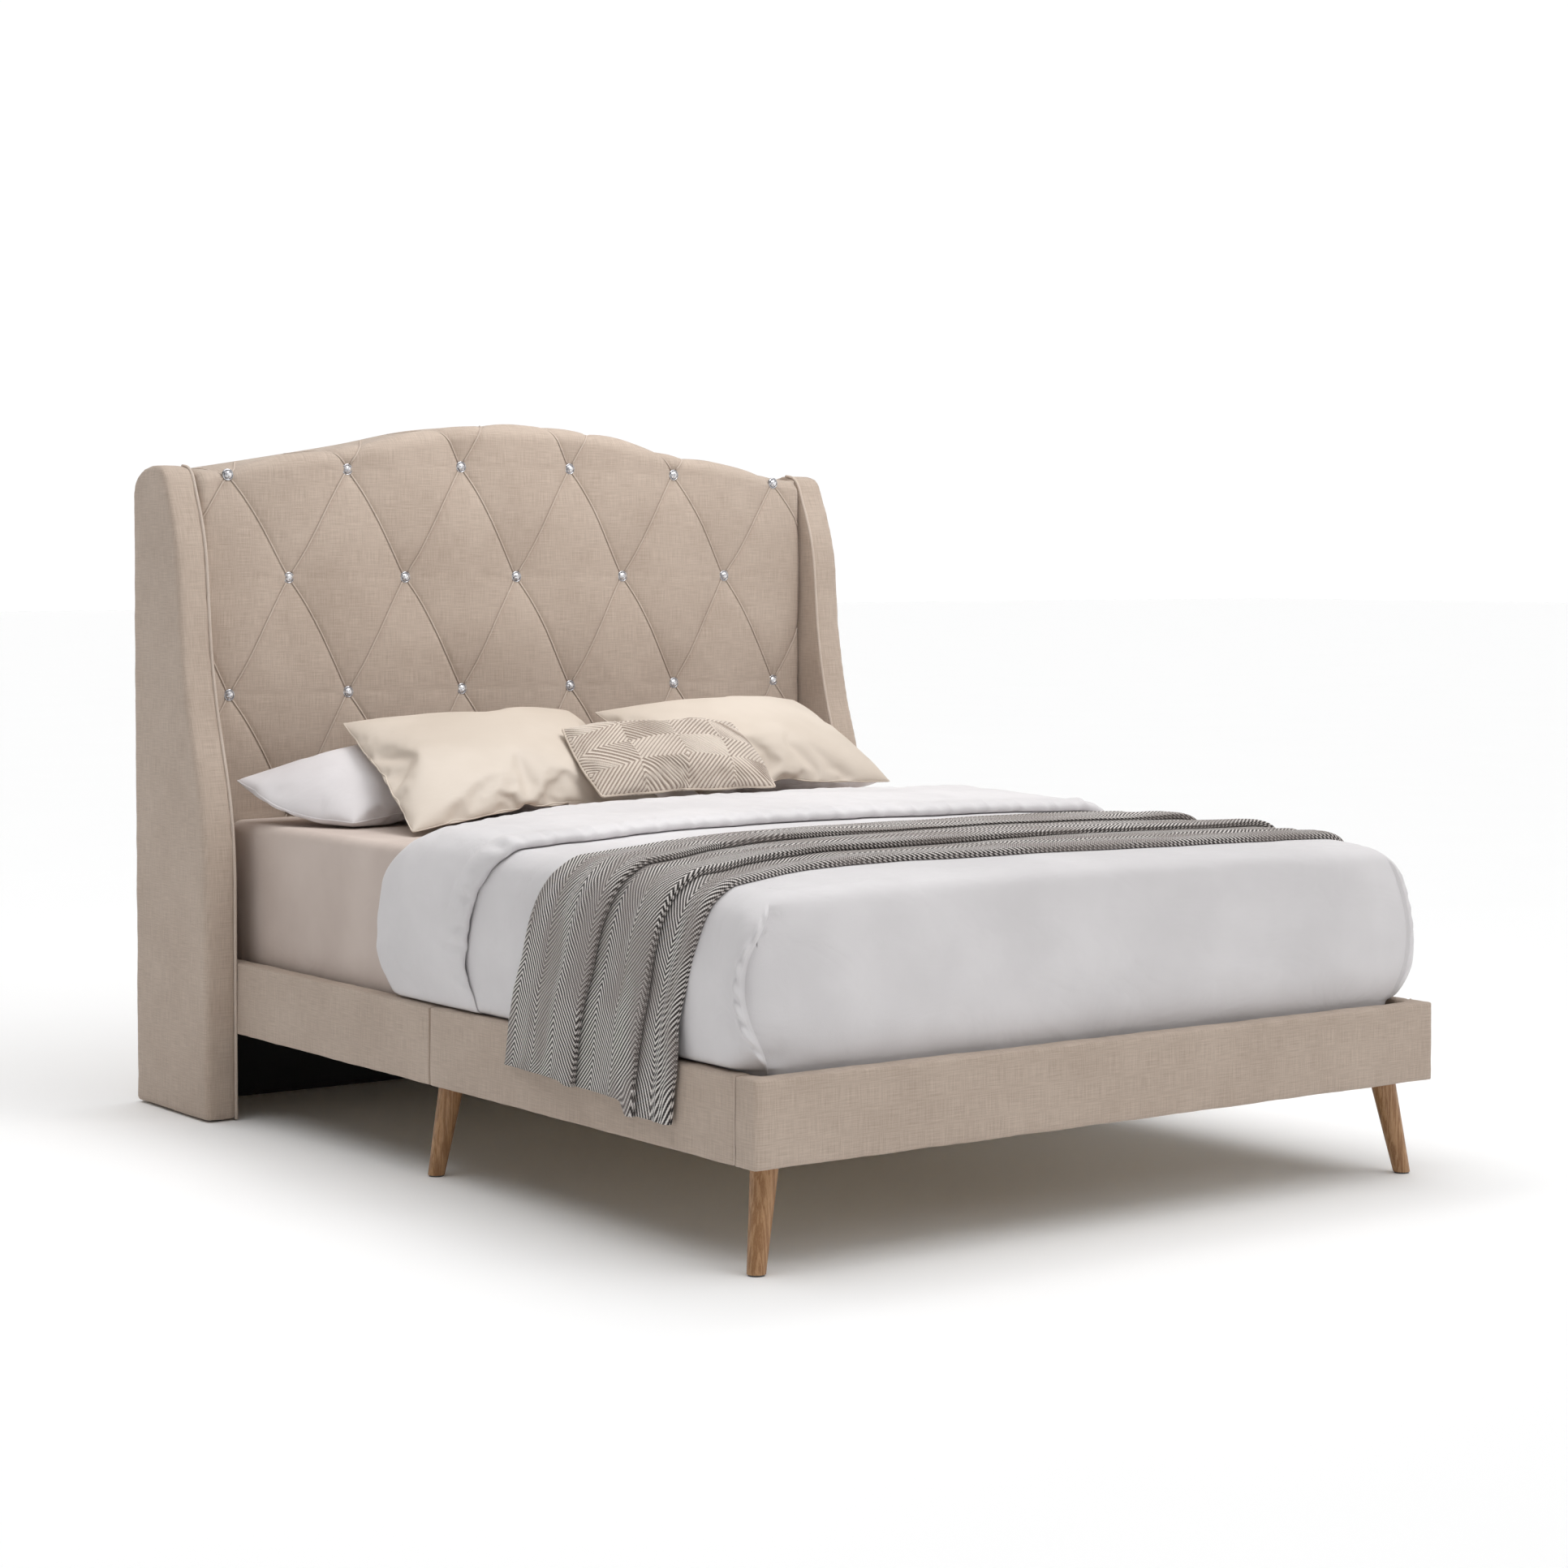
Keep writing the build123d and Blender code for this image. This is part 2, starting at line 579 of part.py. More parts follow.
sheet_half = MATTRESS_HALF + GAP + SHEET
sheet_foot = MATTRESS_FOOT - GAP - SHEET
over_mattress = MATTRESS_TOP + SHEET + 1
rail_clear = RAIL_TOP + 2
with BuildPart() as duvet:
    slab((-DUVET_HALF, DUVET_HALF), (DUVET_FOOT, DUVET_HEAD), (rail_clear, DUVET_TOP))
    fillet(duvet.faces().sort_by(Axis.Z)[-1].edges(), 14)
    slab((-DUVET_HALF - 4, DUVET_HALF + 4), (CUFF_FOOT, DUVET_HEAD), (rail_clear, CUFF_TOP))
    for side, _ in SIDES:
        tuck = span(side, sheet_half + 1, RAIL_IN - 1)
        slab(tuck, (DUVET_FOOT, DUVET_HEAD), (rail_clear - 20, rail_clear))
    slab((-RAIL_IN + 1, RAIL_IN - 1), (DUVET_FOOT, sheet_foot - 1), (rail_clear - 20, rail_clear))
    slab((-sheet_half - 1, sheet_half + 1), (sheet_foot - 1, BACK), (0, over_mattress), Mode.SUBTRACT)
save(duvet, "duvet")

throw_in = RAIL_OUT + 2
with BuildPart() as throw:
    throw_out, throw_low = throw_in + THROW_THICK, DUVET_TOP + 1
    slab((-throw_out, throw_out), THROW_SPAN, (THROW_HEM, throw_low + THROW_THICK))
    slab((-throw_in, throw_in), THROW_SPAN, (THROW_HEM, throw_low), Mode.SUBTRACT)
save(throw, "throw")


def lens(length, thick):
    """A lens section: two arcs that meet at the edges of a pillow, centred on the origin."""
    with BuildSketch() as section:
        with BuildLine():
            ThreePointArc((-length / 2, 0), (0, thick / 2), (length / 2, 0))
            ThreePointArc((length / 2, 0), (0, -thick / 2), (-length / 2, 0))
        make_face()
    return section.sketch


def pillow_form(kind, side, grow):
    """A pillow's full form: a lens across it cut to a lens along it, grown or shrunk all round."""
    (width, height, thick), tilt, (x, y, z) = kind
    edge = 2 * grow if grow > 0 else 8 * grow
    wide = extrude(Plane.XZ * lens(width + edge, thick + 2 * grow), amount=height, both=True)
    # the second lens is thicker, so that the crowns of the two don't meet at a point
    high = extrude(Plane.YZ * lens(height + edge, 1.2 * thick + 2 * grow), amount=width, both=True)
    return (wide & high).moved(Location((side * x, FOOT + y, z), (tilt, 0, 0)))


def form_under(kind, side, above, grow):
    """A pillow's form with room cut out for the pillows in above and for their way up."""
    form = pillow_form(kind, side, grow)
    for other, other_side in above:
        room = pillow_form(other, other_side, PILLOW_CLEAR - grow)
        for lift in PILLOW_LIFTS:
            form -= room.moved(Location((0, 0, lift)))
    return form


def pillow(kind, side, above=()):
    """A hollow pillow, dented where the ones in above lie on it."""
    outside = form_under(kind, side, above, 0)
    inside = form_under(kind, side, above, -PILLOW_WALL)
    with BuildPart() as shell:
        add(outside)
        add(inside, mode=Mode.SUBTRACT)
    return shell


for side, word in SIDES:
    save(pillow(WHITE_PILLOW, side, [(CREAM_PILLOW, side)]), f"white_pillow_{word}")
    save(pillow(CREAM_PILLOW, side, [(KNIT_CUSHION, 1)]), f"cream_pillow_{word}")
save(pillow(KNIT_CUSHION, 1), "knit_cushion")
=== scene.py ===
"""The looks of the upholstered bed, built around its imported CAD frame.

Metres, in the CAD's own frame: the origin is on the floor under the middle of the bed, +X is the
right-hand side seen from the foot, +Y points from the foot to the headboard and +Z is up.
"""

import json
import math

import bmesh
import bpy
import numpy as np
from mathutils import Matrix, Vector
from mathutils.bvhtree import BVHTree

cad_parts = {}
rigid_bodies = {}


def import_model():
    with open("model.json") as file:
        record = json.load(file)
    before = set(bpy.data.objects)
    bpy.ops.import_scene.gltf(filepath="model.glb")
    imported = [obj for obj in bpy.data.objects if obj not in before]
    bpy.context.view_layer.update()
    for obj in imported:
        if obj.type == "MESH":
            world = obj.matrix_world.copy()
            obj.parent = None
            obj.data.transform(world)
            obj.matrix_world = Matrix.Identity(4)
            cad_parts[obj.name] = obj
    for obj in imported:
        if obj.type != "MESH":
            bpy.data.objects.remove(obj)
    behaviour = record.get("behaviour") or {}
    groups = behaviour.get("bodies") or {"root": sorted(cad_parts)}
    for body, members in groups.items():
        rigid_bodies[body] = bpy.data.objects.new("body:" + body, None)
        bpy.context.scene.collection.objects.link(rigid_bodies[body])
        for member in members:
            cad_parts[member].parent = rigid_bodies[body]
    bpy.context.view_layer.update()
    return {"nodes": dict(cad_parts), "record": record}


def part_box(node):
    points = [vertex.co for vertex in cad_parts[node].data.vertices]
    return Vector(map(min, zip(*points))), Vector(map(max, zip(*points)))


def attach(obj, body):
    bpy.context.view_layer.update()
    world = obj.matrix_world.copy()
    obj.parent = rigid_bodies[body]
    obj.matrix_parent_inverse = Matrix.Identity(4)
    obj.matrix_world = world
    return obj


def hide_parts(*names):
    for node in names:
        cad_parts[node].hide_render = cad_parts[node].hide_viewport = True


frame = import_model()
nodes = frame["nodes"]
SIDES = ((-1, "left"), (1, "right"))

# ------------------------------------------------------------------ sizes taken from the frame

rail_low, rail_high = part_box("foot_rail_cover")
FOOT, RAIL_OUT, RAIL_TOP = rail_low.y, rail_high.x, rail_high.z
pad_low, pad_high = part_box("headboard_pad")
PAD_FRONT, PAD_LOW, PAD_HALF, HEAD_BACK = pad_low.y, pad_low.z, pad_high.x, pad_high.y
PANEL_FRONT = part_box("headboard_panel")[0].y
mattress_low, mattress_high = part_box("mattress")
sheet_low, sheet_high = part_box("fitted_sheet")
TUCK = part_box("duvet")[0].z

# ------------------------------------------------------------------ number helpers


def smooth(low, high, value):
    """Rises smoothly from 0 at low to 1 at high."""
    t = np.clip((np.asarray(value, float) - low) / (high - low), 0.0, 1.0)
    return t * t * (3 - 2 * t)


def curve(points, value):
    """A smooth curve through (position, height) points, read at value."""
    at, height = (np.array(column, float) for column in zip(*points))
    slope = np.gradient(height, at)
    value = np.clip(np.asarray(value, float), at[0], at[-1])
    i = np.clip(np.searchsorted(at, value, side="right") - 1, 0, len(at) - 2)
    step = at[i + 1] - at[i]
    t = (value - at[i]) / step
    return (
        (1 + 2 * t) * (1 - t) ** 2 * height[i]
        + t * (1 - t) ** 2 * step * slope[i]
        + t * t * (3 - 2 * t) * height[i + 1]
        + t * t * (t - 1) * step * slope[i + 1]
    )


def ripple(a, b, pitch, seed):
    """Soft, repeatable unevenness between about -1 and 1, from waves that cross at odd angles."""
    draw = np.random.default_rng(seed)
    total = 0
    for octave in (1.0, 1.7, 2.9):
        angle, shift = draw.uniform(0, 2 * math.pi, 2)
        along = math.cos(angle) * a + math.sin(angle) * b
        other = -math.sin(angle) * a + math.cos(angle) * b
        wave = 2 * math.pi * octave / pitch
        total = total + np.sin(wave * along + shift + 1.3 * np.sin(0.6 * wave * other + 2 * shift)) / octave
    return total / 1.9


def run_length(path):
    """Distance of each point of a path from its first point, along the path."""
    return np.concatenate([[0], np.cumsum(np.linalg.norm(np.diff(path, axis=0), axis=1))])


def unit(vectors):
    """The same directions, each with a length of 1."""
    return vectors / np.linalg.norm(vectors, axis=-1)[..., None]


# ------------------------------------------------------------------ mesh helpers


def quads(index):
    """Faces over a grid of point numbers."""
    corners = np.stack([index[:-1, :-1], index[:-1, 1:], index[1:, 1:], index[1:, :-1]], axis=-1)
    return [tuple(face) for face in corners.reshape(-1, 4).tolist()]


def grid_faces(rows, columns, wrap_rows=False, wrap_columns=False):
    """Faces over a grid of points stored row by row."""
    index = np.arange(rows * columns).reshape(rows, columns)
    return quads(np.pad(index, ((0, int(wrap_rows)), (0, int(wrap_columns))), mode="wrap"))


def turned_over(faces, start):
    """The same faces on points numbered from start, seen from the other side."""
    return [tuple(start + k for k in reversed(face)) for face in faces]


def new_object(name, points, faces, material, uv=None):
    """A smooth-shaded mesh object with its normals pointing out; uv is in metres, one for each point."""
    mesh = bpy.data.meshes.new(name)
    mesh.from_pydata([tuple(p) for p in np.asarray(points, float).reshape(-1, 3)], [], faces)
    if uv is not None:
        layer = mesh.uv_layers.new(name="metres")
        corners = np.zeros(len(mesh.loops), np.int64)
        mesh.loops.foreach_get("vertex_index", corners)
        layer.data.foreach_set("uv", np.asarray(uv, float).reshape(-1, 2)[corners].ravel())
    work = bmesh.new()
    work.from_mesh(mesh)
    bmesh.ops.recalc_face_normals(work, faces=work.faces)
    work.to_mesh(mesh)
    work.free()
    mesh.polygons.foreach_set("use_smooth", [True] * len(mesh.polygons))
    mesh.materials.append(material)
    made = bpy.data.objects.new(name, mesh)
    bpy.context.scene.collection.objects.link(made)
    return made


def points_of(made):
    """The object's points as an array."""
    flat = np.zeros(len(made.data.vertices) * 3)
    made.data.vertices.foreach_get("co", flat)
    return flat.reshape(-1, 3)


def move_points(made, points):
    """Writes an array of points back to the object."""
    made.data.vertices.foreach_set("co", np.asarray(points, float).ravel())
    made.data.update()


def apply_modifiers(made):
    """Turns what the modifiers show into the object's own mesh."""
    seen = made.evaluated_get(bpy.context.evaluated_depsgraph_get())
    mesh = bpy.data.meshes.new_from_object(seen)
    made.modifiers.clear()
    made.data = mesh
    mesh.polygons.foreach_set("use_smooth", [True] * len(mesh.polygons))
    return made


def grid_rim(index):
    """The point numbers round the edge of a grid, in order."""
    return np.concatenate([index[0, :-1], index[:-1, -1], index[-1, :0:-1], index[:0:-1, 0]])


def thick_sheet(name, outer, inner, material, uv):
    """A closed sheet between two grids of points of the same shape."""
    rows, columns = outer.shape[:2]
    count = rows * columns
    faces = grid_faces(rows, columns)
    faces += turned_over(faces, count)
    rim = grid_rim(np.arange(count).reshape(rows, columns)).tolist()
    faces += [(b, a, count + a, count + b) for a, b in zip(rim, rim[1:] + rim[:1])]
    both = np.concatenate([outer.reshape(-1, 3), inner.reshape(-1, 3)])
    return new_object(name, both, faces, material, np.concatenate([uv.reshape(-1, 2)] * 2))


def tubes(name, paths, radius, sides, material):
    """Round tubes with closed ends, one along each path."""
    points, faces = [], []
    for path in paths:
        path = np.asarray(path, float)
        along = unit(np.gradient(path, axis=0))
        side = unit(np.cross(along, [0.13, 0.21, 0.97]))
        up = np.cross(along, side)
        start = len(points)
        for angle in np.arange(sides) * 2 * math.pi / sides:
            points.extend(path + radius * (math.cos(angle) * side + math.sin(angle) * up))
        count = len(path)
        for k in range(sides):
            a, b = start + k * count, start + (k + 1) % sides * count
            faces += [(a + i, b + i, b + i + 1, a + i + 1) for i in range(count - 1)]
        faces.append(tuple(start + k * count for k in range(sides)))
        faces.append(tuple(start + k * count + count - 1 for k in reversed(range(sides))))
    return new_object(name, points, faces, material)


def place(made, body, slot, *replaced):
    """Rides a piece on its body and hides the CAD nodes that it stands for. The slot is not used."""
    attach(made, body)
    if replaced:
        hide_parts(*replaced)
    return made


# ------------------------------------------------------------------ materials


class Graph:
    """A material's node tree, with short calls for the nodes used here."""

    def __init__(self, name, roughness, **shader):
        self.material = bpy.data.materials.new(name)
        self.material.use_nodes = True
        self.tree = self.material.node_tree
        self.shader = self.tree.nodes["Principled BSDF"]
        self.set("Roughness", roughness)
        for socket, value in shader.items():
            self.set(socket.replace("_", " "), value)

    def put(self, value, socket):
        if isinstance(value, bpy.types.NodeSocket):
            self.tree.links.new(value, socket)
        else:
            socket.default_value = value

    def set(self, socket, value):
        self.put(value, self.shader.inputs[socket])

    def node(self, kind, inputs=None, **settings):
        made = self.tree.nodes.new("ShaderNode" + kind)
        for key, value in settings.items():
            setattr(made, key, value)
        for key, value in (inputs or {}).items():
            self.put(value, made.inputs[key])
        return made

    def math(self, operation, a, b=0.0):
        return self.node("Math", {0: a, 1: b}, operation=operation).outputs[0]

    def add(self, total, *others):
        for other in others:
            total = self.math("ADD", total, other)
        return total

    def less(self, a, b):
        return self.math("SUBTRACT", a, b)

    def times(self, a, b):
        return self.math("MULTIPLY", a, b)

    def wave(self, value, pitch):
        """A sine wave with a pitch in metres."""
        return self.math("SINE", self.times(value, 2 * math.pi / pitch))

    def mix(self, factor, a, b):
        made = self.node("Mix", data_type="RGBA")
        self.put(factor, made.inputs[0])
        self.put(a, made.inputs[6])
        self.put(b, made.inputs[7])
        return made.outputs[2]

    def vector(self, x, y, z=0.0):
        return self.node("CombineXYZ", {0: x, 1: y, 2: z}).outputs[0]

    def noise(self, vector, scale=1.0, detail=2.0):
        return self.node("TexNoise", {"Vector": vector, "Scale": scale, "Detail": detail}).outputs[0]

    def ramp(self, value, low, high):
        made = self.node("MapRange", {0: value, 1: low, 2: high}, interpolation_type="SMOOTHSTEP")
        return made.outputs[0]

    def bump(self, height, distance):
        made = self.node("Bump", {"Height": height, "Distance": distance, "Strength": 1.0})
        self.set("Normal", made.outputs[0])

    def position(self):
        """The object's own coordinates, in metres."""
        return self.node("TexCoord").outputs["Object"]

    def flat(self, uv=False):
        """Two coordinates in metres that lie along the surface."""
        texture = self.node("TexCoord")
        if uv:
            split = self.node("SeparateXYZ", {0: texture.outputs["UV"]})
            return split.outputs[0], split.outputs[1]
        at = self.node("SeparateXYZ", {0: texture.outputs["Object"]})
        facing = self.node("SeparateXYZ", {0: texture.outputs["Normal"]})
        x, y, z = (self.math("ABSOLUTE", facing.outputs[i]) for i in range(3))
        is_x = self.math("GREATER_THAN", x, self.math("MAXIMUM", y, z))
        is_z = self.math("GREATER_THAN", z, self.math("MAXIMUM", x, y))
        u = self.node("Mix", {0: is_x, 2: at.outputs[0], 3: at.outputs[1]}).outputs[0]
        v = self.node("Mix", {0: is_z, 2: at.outputs[2], 3: at.outputs[1]}).outputs[0]
        return u, v


def linear(red, green, blue, alpha=1.0):
    """A colour given as it looks on screen, 0 to 255, as the linear colour that Blender takes."""
    parts = [c / 255 / 12.92 if c < 10 else ((c / 255 + 0.055) / 1.055) ** 2.4 for c in (red, green, blue)]
    return (*parts, alpha)


def woven(name, dark, light, thread=0.0011, slub=0.4, relief=0.0005, uv=False, roughness=0.92, **shader):
    """Plain-woven cloth: threads both ways, thicker slubs here and there, and faint larger mottling."""
    g = Graph(name, roughness, **shader)
    u, v = g.flat(uv)
    across = g.noise(g.vector(g.times(u, 22.0), g.times(v, 620.0)))
    along = g.noise(g.vector(g.times(u, 620.0), g.times(v, 22.0), 7.0))
    slubs = g.times(g.add(across, along), 0.5)
    mottle = g.noise(g.position(), 7.0, 3.0)
    weave = g.times(g.wave(u, thread), g.wave(v, thread))
    shade = g.add(g.times(g.less(slubs, 0.5), slub * 6), 0.5)
    shade = g.add(shade, g.times(g.less(mottle, 0.5), 0.7), g.times(weave, 0.12))
    g.set("Base Color", g.mix(g.ramp(shade, 0.0, 1.0), linear(*dark), linear(*light)))
    g.bump(g.add(g.times(slubs, 2.0 * slub + 0.4), g.times(weave, 0.25)), relief)
    return g.material


def sateen(name, dark, light, wrinkle=0.0012, roughness=0.62, **shader):
    """Smooth bed linen: a very fine weave, soft creases and a slight sheen."""
    g = Graph(name, roughness, **shader)
    at = g.position()
    stretched = g.node("Mapping", {"Vector": at, "Scale": (1.0, 2.2, 1.6)}).outputs[0]
    inputs = {"Vector": stretched, "Scale": 6.0, "Detail": 3.0, "Distortion": 0.9}
    bent = g.node("TexNoise", inputs).outputs[0]
    fine = g.noise(at, 900.0, 1.0)
    g.set("Base Color", g.mix(g.ramp(g.noise(at, 4.0, 3.0), 0.3, 0.7), linear(*dark), linear(*light)))
    g.bump(g.add(bent, g.times(fine, 0.06)), wrinkle * 4)
    return g.material


def timber(name, dark, light, axis=0, ring=0.012, roughness=0.5):
    """Wood with grain along one axis, growth rings across it and fine pores."""
    g = Graph(name, roughness)
    scale = [1 / ring] * 3
    scale[axis] *= 0.06
    at = g.node("Mapping", {"Vector": g.position(), "Scale": tuple(scale)}).outputs[0]
    waves = g.noise(at, 0.5, 3.0)
    rings = g.math("SINE", g.times(waves, 34.0))
    pores = g.noise(g.node("Mapping", {"Vector": at, "Scale": (5.0, 5.0, 5.0)}).outputs[0], 2.0, 3.0)
    shade = g.add(g.times(rings, 0.22), g.times(pores, 0.8))
    g.set("Base Color", g.mix(g.ramp(shade, 0.0, 0.85), linear(*dark), linear(*light)))
    g.bump(shade, 0.0003)
    return g.material


def metal(name, colour, roughness, grain=0.0, metallic=1.0):
    """Metal, or paint on metal, with faint uneven gloss."""
    g = Graph(name, roughness, Metallic=metallic)
    spots = g.noise(g.position(), 180.0, 3.0)
    darker = tuple(0.8 * c for c in colour[:3]) + (1.0,)
    g.set("Base Color", g.mix(spots, darker, colour))
    g.set("Roughness", g.node("MapRange", {0: spots, 3: roughness * 0.8, 4: roughness * 1.25}).outputs[0])
    g.bump(spots, 0.00005 + grain)
    return g.material


def plastic(name, colour, roughness=0.45):
    """Moulded plastic with a fine grain."""
    g = Graph(name, roughness)
    grain = g.noise(g.position(), 700.0, 1.0)
    lighter = tuple(min(1.0, 1.5 * c + 0.01) for c in colour[:3]) + (1.0,)
    g.set("Base Color", g.mix(g.ramp(grain, 0.3, 0.9), colour, lighter))
    g.bump(grain, 0.0001)
    return g.material


def crystal():
    """Cut glass with a bright body, as foil-backed stones look."""
    g = Graph("cut_crystal", 0.03, IOR=1.6, Coat_Weight=1.0, Coat_Roughness=0.02)
    facets = g.node("TexVoronoi", {"Vector": g.position(), "Scale": 260.0}).outputs["Color"]
    value = g.node("SeparateColor", {0: facets}).outputs[0]
    g.set("Base Color", g.mix(value, linear(150, 148, 152), linear(250, 250, 252)))
    g.set("Metallic", 0.45)
    return g.material


def herringbone():
    """A loose herringbone knit of charcoal, oatmeal and white yarns, in bands along the throw."""
    g = Graph("herringbone_knit", 0.95, Sheen_Weight=0.2, Sheen_Roughness=0.5)
    u, v = g.flat(uv=True)
    zigzag = g.math("PINGPONG", v, 0.075)
    drift = g.times(g.noise(g.vector(u, v), 9.0, 2.0), 0.016)
    rib = g.wave(g.add(u, g.times(zigzag, 1.15), drift), 0.0105)
    cross = g.wave(g.less(u, g.times(zigzag, 0.8)), 0.0045)
    strong = g.ramp(g.noise(g.vector(g.times(u, 2.5), g.times(v, 7.0)), 1.6, 2.0), 0.40, 0.62)
    contrast = g.node("MapRange", {0: strong, 3: 0.24, 4: 0.85}).outputs[0]
    tone = g.add(g.times(rib, contrast), g.times(cross, 0.16), 0.47)
    middle = g.mix(g.ramp(tone, 0.0, 0.5), linear(34, 31, 30), linear(152, 142, 137))
    g.set("Base Color", g.mix(g.ramp(tone, 0.5, 1.0), middle, linear(240, 234, 230)))
    g.bump(g.add(g.times(rib, 0.6), g.times(cross, 0.25)), 0.0016)
    return g.material


CORD_PITCH = 0.0118
CORD_BEND, CORD_TURNS = 0.0025, 47.0  # the cords' wander in metres, and its radians for each metre
CORD_CELLS = ((0.235, 0.118), (0.066, 0.074))  # start and half width of the cord pattern's cells, both ways


def corded():
    """Raised chenille cords in nested diamonds, oatmeal on their crests and darker between them."""
    g = Graph("cushion_chenille", 0.9, Sheen_Weight=0.3, Sheen_Roughness=0.4)
    u, v = g.flat(uv=True)
    bend = g.times(g.math("SINE", g.times(g.add(u, v), CORD_TURNS)), CORD_BEND)
    across, along = (
        g.math("PINGPONG", g.add(axis, start, bend), half) for axis, (start, half) in zip((u, v), CORD_CELLS)
    )
    cord = g.wave(g.add(across, along), CORD_PITCH)
    twist = g.wave(g.less(across, along), 0.0042)
    fuzz = g.noise(g.position(), 420.0, 2.0)
    tone = g.add(g.times(cord, 0.34), g.times(twist, 0.10), 0.2, g.times(fuzz, 0.5))
    g.set("Base Color", g.mix(g.ramp(tone, -0.1, 0.7), linear(132, 113, 99), linear(220, 207, 194)))
    g.bump(g.add(g.times(cord, 0.5), g.times(twist, 0.18)), 0.0012)
    return g.material


def cord_height(u, v):
    """The same cords as a height between -1 and 1, for the cushion's own surface."""
    bend = CORD_BEND * np.sin(CORD_TURNS * (u + v))
    total = 0
    for axis, (start, half) in zip((u, v), CORD_CELLS):
        total = total + half - np.abs((axis + start + bend) % (2 * half) - half)
    return np.sin(2 * math.pi * total / CORD_PITCH)


LINEN = (177, 159, 144), (203, 186, 171)
linen = woven("upholstery_linen", *LINEN, Sheen_Weight=0.15, Sheen_Roughness=0.4)
linen_uv = woven("upholstery_linen_pad", *LINEN, uv=True, Sheen_Weight=0.15)
# A lighter copy of the upholstery linen for the tufting seams, wing welts and corner piping: the extra
# lightness is a painted highlight along their ridges.
seam_linen_painted_highlight = woven("seam_linen_painted_highlight", (192, 174, 159), (222, 208, 196), thread=0.0008, slub=0.15)
black_cloth = woven("black_cloth", (20, 20, 21), (40, 40, 42), thread=0.0016, slub=0.15)
back_fabric = woven("back_fabric", (174, 156, 141), (190, 172, 157), thread=0.0013, slub=0.3)
ticking = woven("mattress_ticking", (205, 203, 200), (238, 237, 234), thread=0.0022, slub=0.15)
sheet_cotton = sateen("sheet_cotton", (193, 178, 169), (205, 191, 182), wrinkle=0.0008)
duvet_cotton = sateen("duvet_cotton", (210, 207, 208), (221, 218, 219), Sheen_Weight=0.08)
white_cotton = sateen("white_cotton", (216, 211, 212), (229, 225, 226), wrinkle=0.0006)
cream_cotton = sateen("cream_cotton", (201, 188, 174), (213, 201, 188), wrinkle=0.0006, roughness=0.55)
throw_knit = herringbone()
chenille = corded()
cushion_back = woven("cushion_cotton", (196, 181, 166), (219, 206, 192), thread=0.0012, slub=0.25)
leg_wood = timber("leg_wood", (140, 98, 60), (184, 144, 103), axis=2, ring=0.007, roughness=0.42)
ply_face = timber("plywood", (176, 146, 104), (214, 188, 146), axis=2, ring=0.02, roughness=0.7)
softwood = timber("frame_timber", (184, 150, 100), (222, 194, 148), axis=1, ring=0.011, roughness=0.65)
slat_wood = timber("slat_wood", (196, 166, 118), (230, 206, 162), axis=0, ring=0.009, roughness=0.55)
zinc = metal("zinc_steel", linear(176, 178, 182), 0.32)
powder_coat = metal("powder_coated_steel", linear(38, 38, 40), 0.5, grain=0.0001, metallic=0.0)
chrome = metal("polished_chrome", linear(205, 205, 208), 0.08)
cap_plastic = plastic("cap_plastic", linear(50, 50, 52))
glide_nylon = plastic("glide_nylon", linear(62, 62, 63), 0.35)
stone = crystal()

FINISHES = {
    "leg_wood": leg_wood, "plywood": ply_face, "frame_timber": softwood, "slat_wood": slat_wood,
    "cap_plastic": cap_plastic, "glide_plastic": glide_nylon, "zinc_steel": zinc,
    "bracket_steel": powder_coat,
}
for part in frame["record"]["subparts"]:
    finish = FINISHES.get(part["material_slot"])
    if finish:
        own = nodes[part["node"]].data
        own.materials.clear()
        own.materials.append(finish)

# ------------------------------------------------------------------ headboard pad

ROLL = 0.034  # radius of the pad's rounded top edge
END_ROLL = 0.022  # radius of its ends beside the wings
DIMPLE = 0.020
PITCH = 0.2931
ROW_STEP = 0.2565
FIRST_ROW = ((0.5, 1.410), (1.5, 1.400), (2.5, 1.384), (3.5, 1.370))  # pitches from the middle, height
SECOND_ROW = 1.1584
CREST = ((0, 1.508), (0.2, 1.496), (0.38, 1.461), (0.56, 1.431), (0.808, 1.392))


def crest(x):
    """Height of the camel-back edge."""
    return curve([(-a, b) for a, b in reversed(CREST[1:])] + list(CREST), x)


def button_rows():
    """The buttons' places in XZ row by row from the top, with unseen ones added past every edge."""
    rows = [[(n, SECOND_ROW + 2 * ROW_STEP) for n in range(-3, 4)]]
    rows.append(sorted((sign * n, z) for n, z in FIRST_ROW for sign in (-1, 1)))
    for k in range(4):
        reach = 3.5 if k % 2 else 3.0
        rows.append([(n, SECOND_ROW - k * ROW_STEP) for n in np.arange(-reach, reach + 0.1)])
    return [[(n * PITCH, z) for n, z in row] for row in rows]


BUTTON_LATTICE = button_rows()
buttons = [(x, z) for row in BUTTON_LATTICE[1:5] for x, z in row if abs(x) < PAD_HALF - 0.05]
SEAMS = [
    (upper, lower)
    for above, below in zip(BUTTON_LATTICE, BUTTON_LATTICE[1:])
    for upper in above
    for lower in below
    if abs(abs(upper[0] - lower[0]) - PITCH / 2) < 0.01
]


def seam_offset(t):
    """How far a seam strays from the straight line between its buttons."""
    t = np.clip(t, 0, 1)
    return 0.008 * np.sin(math.pi * t) * (1 - 1.35 * t)


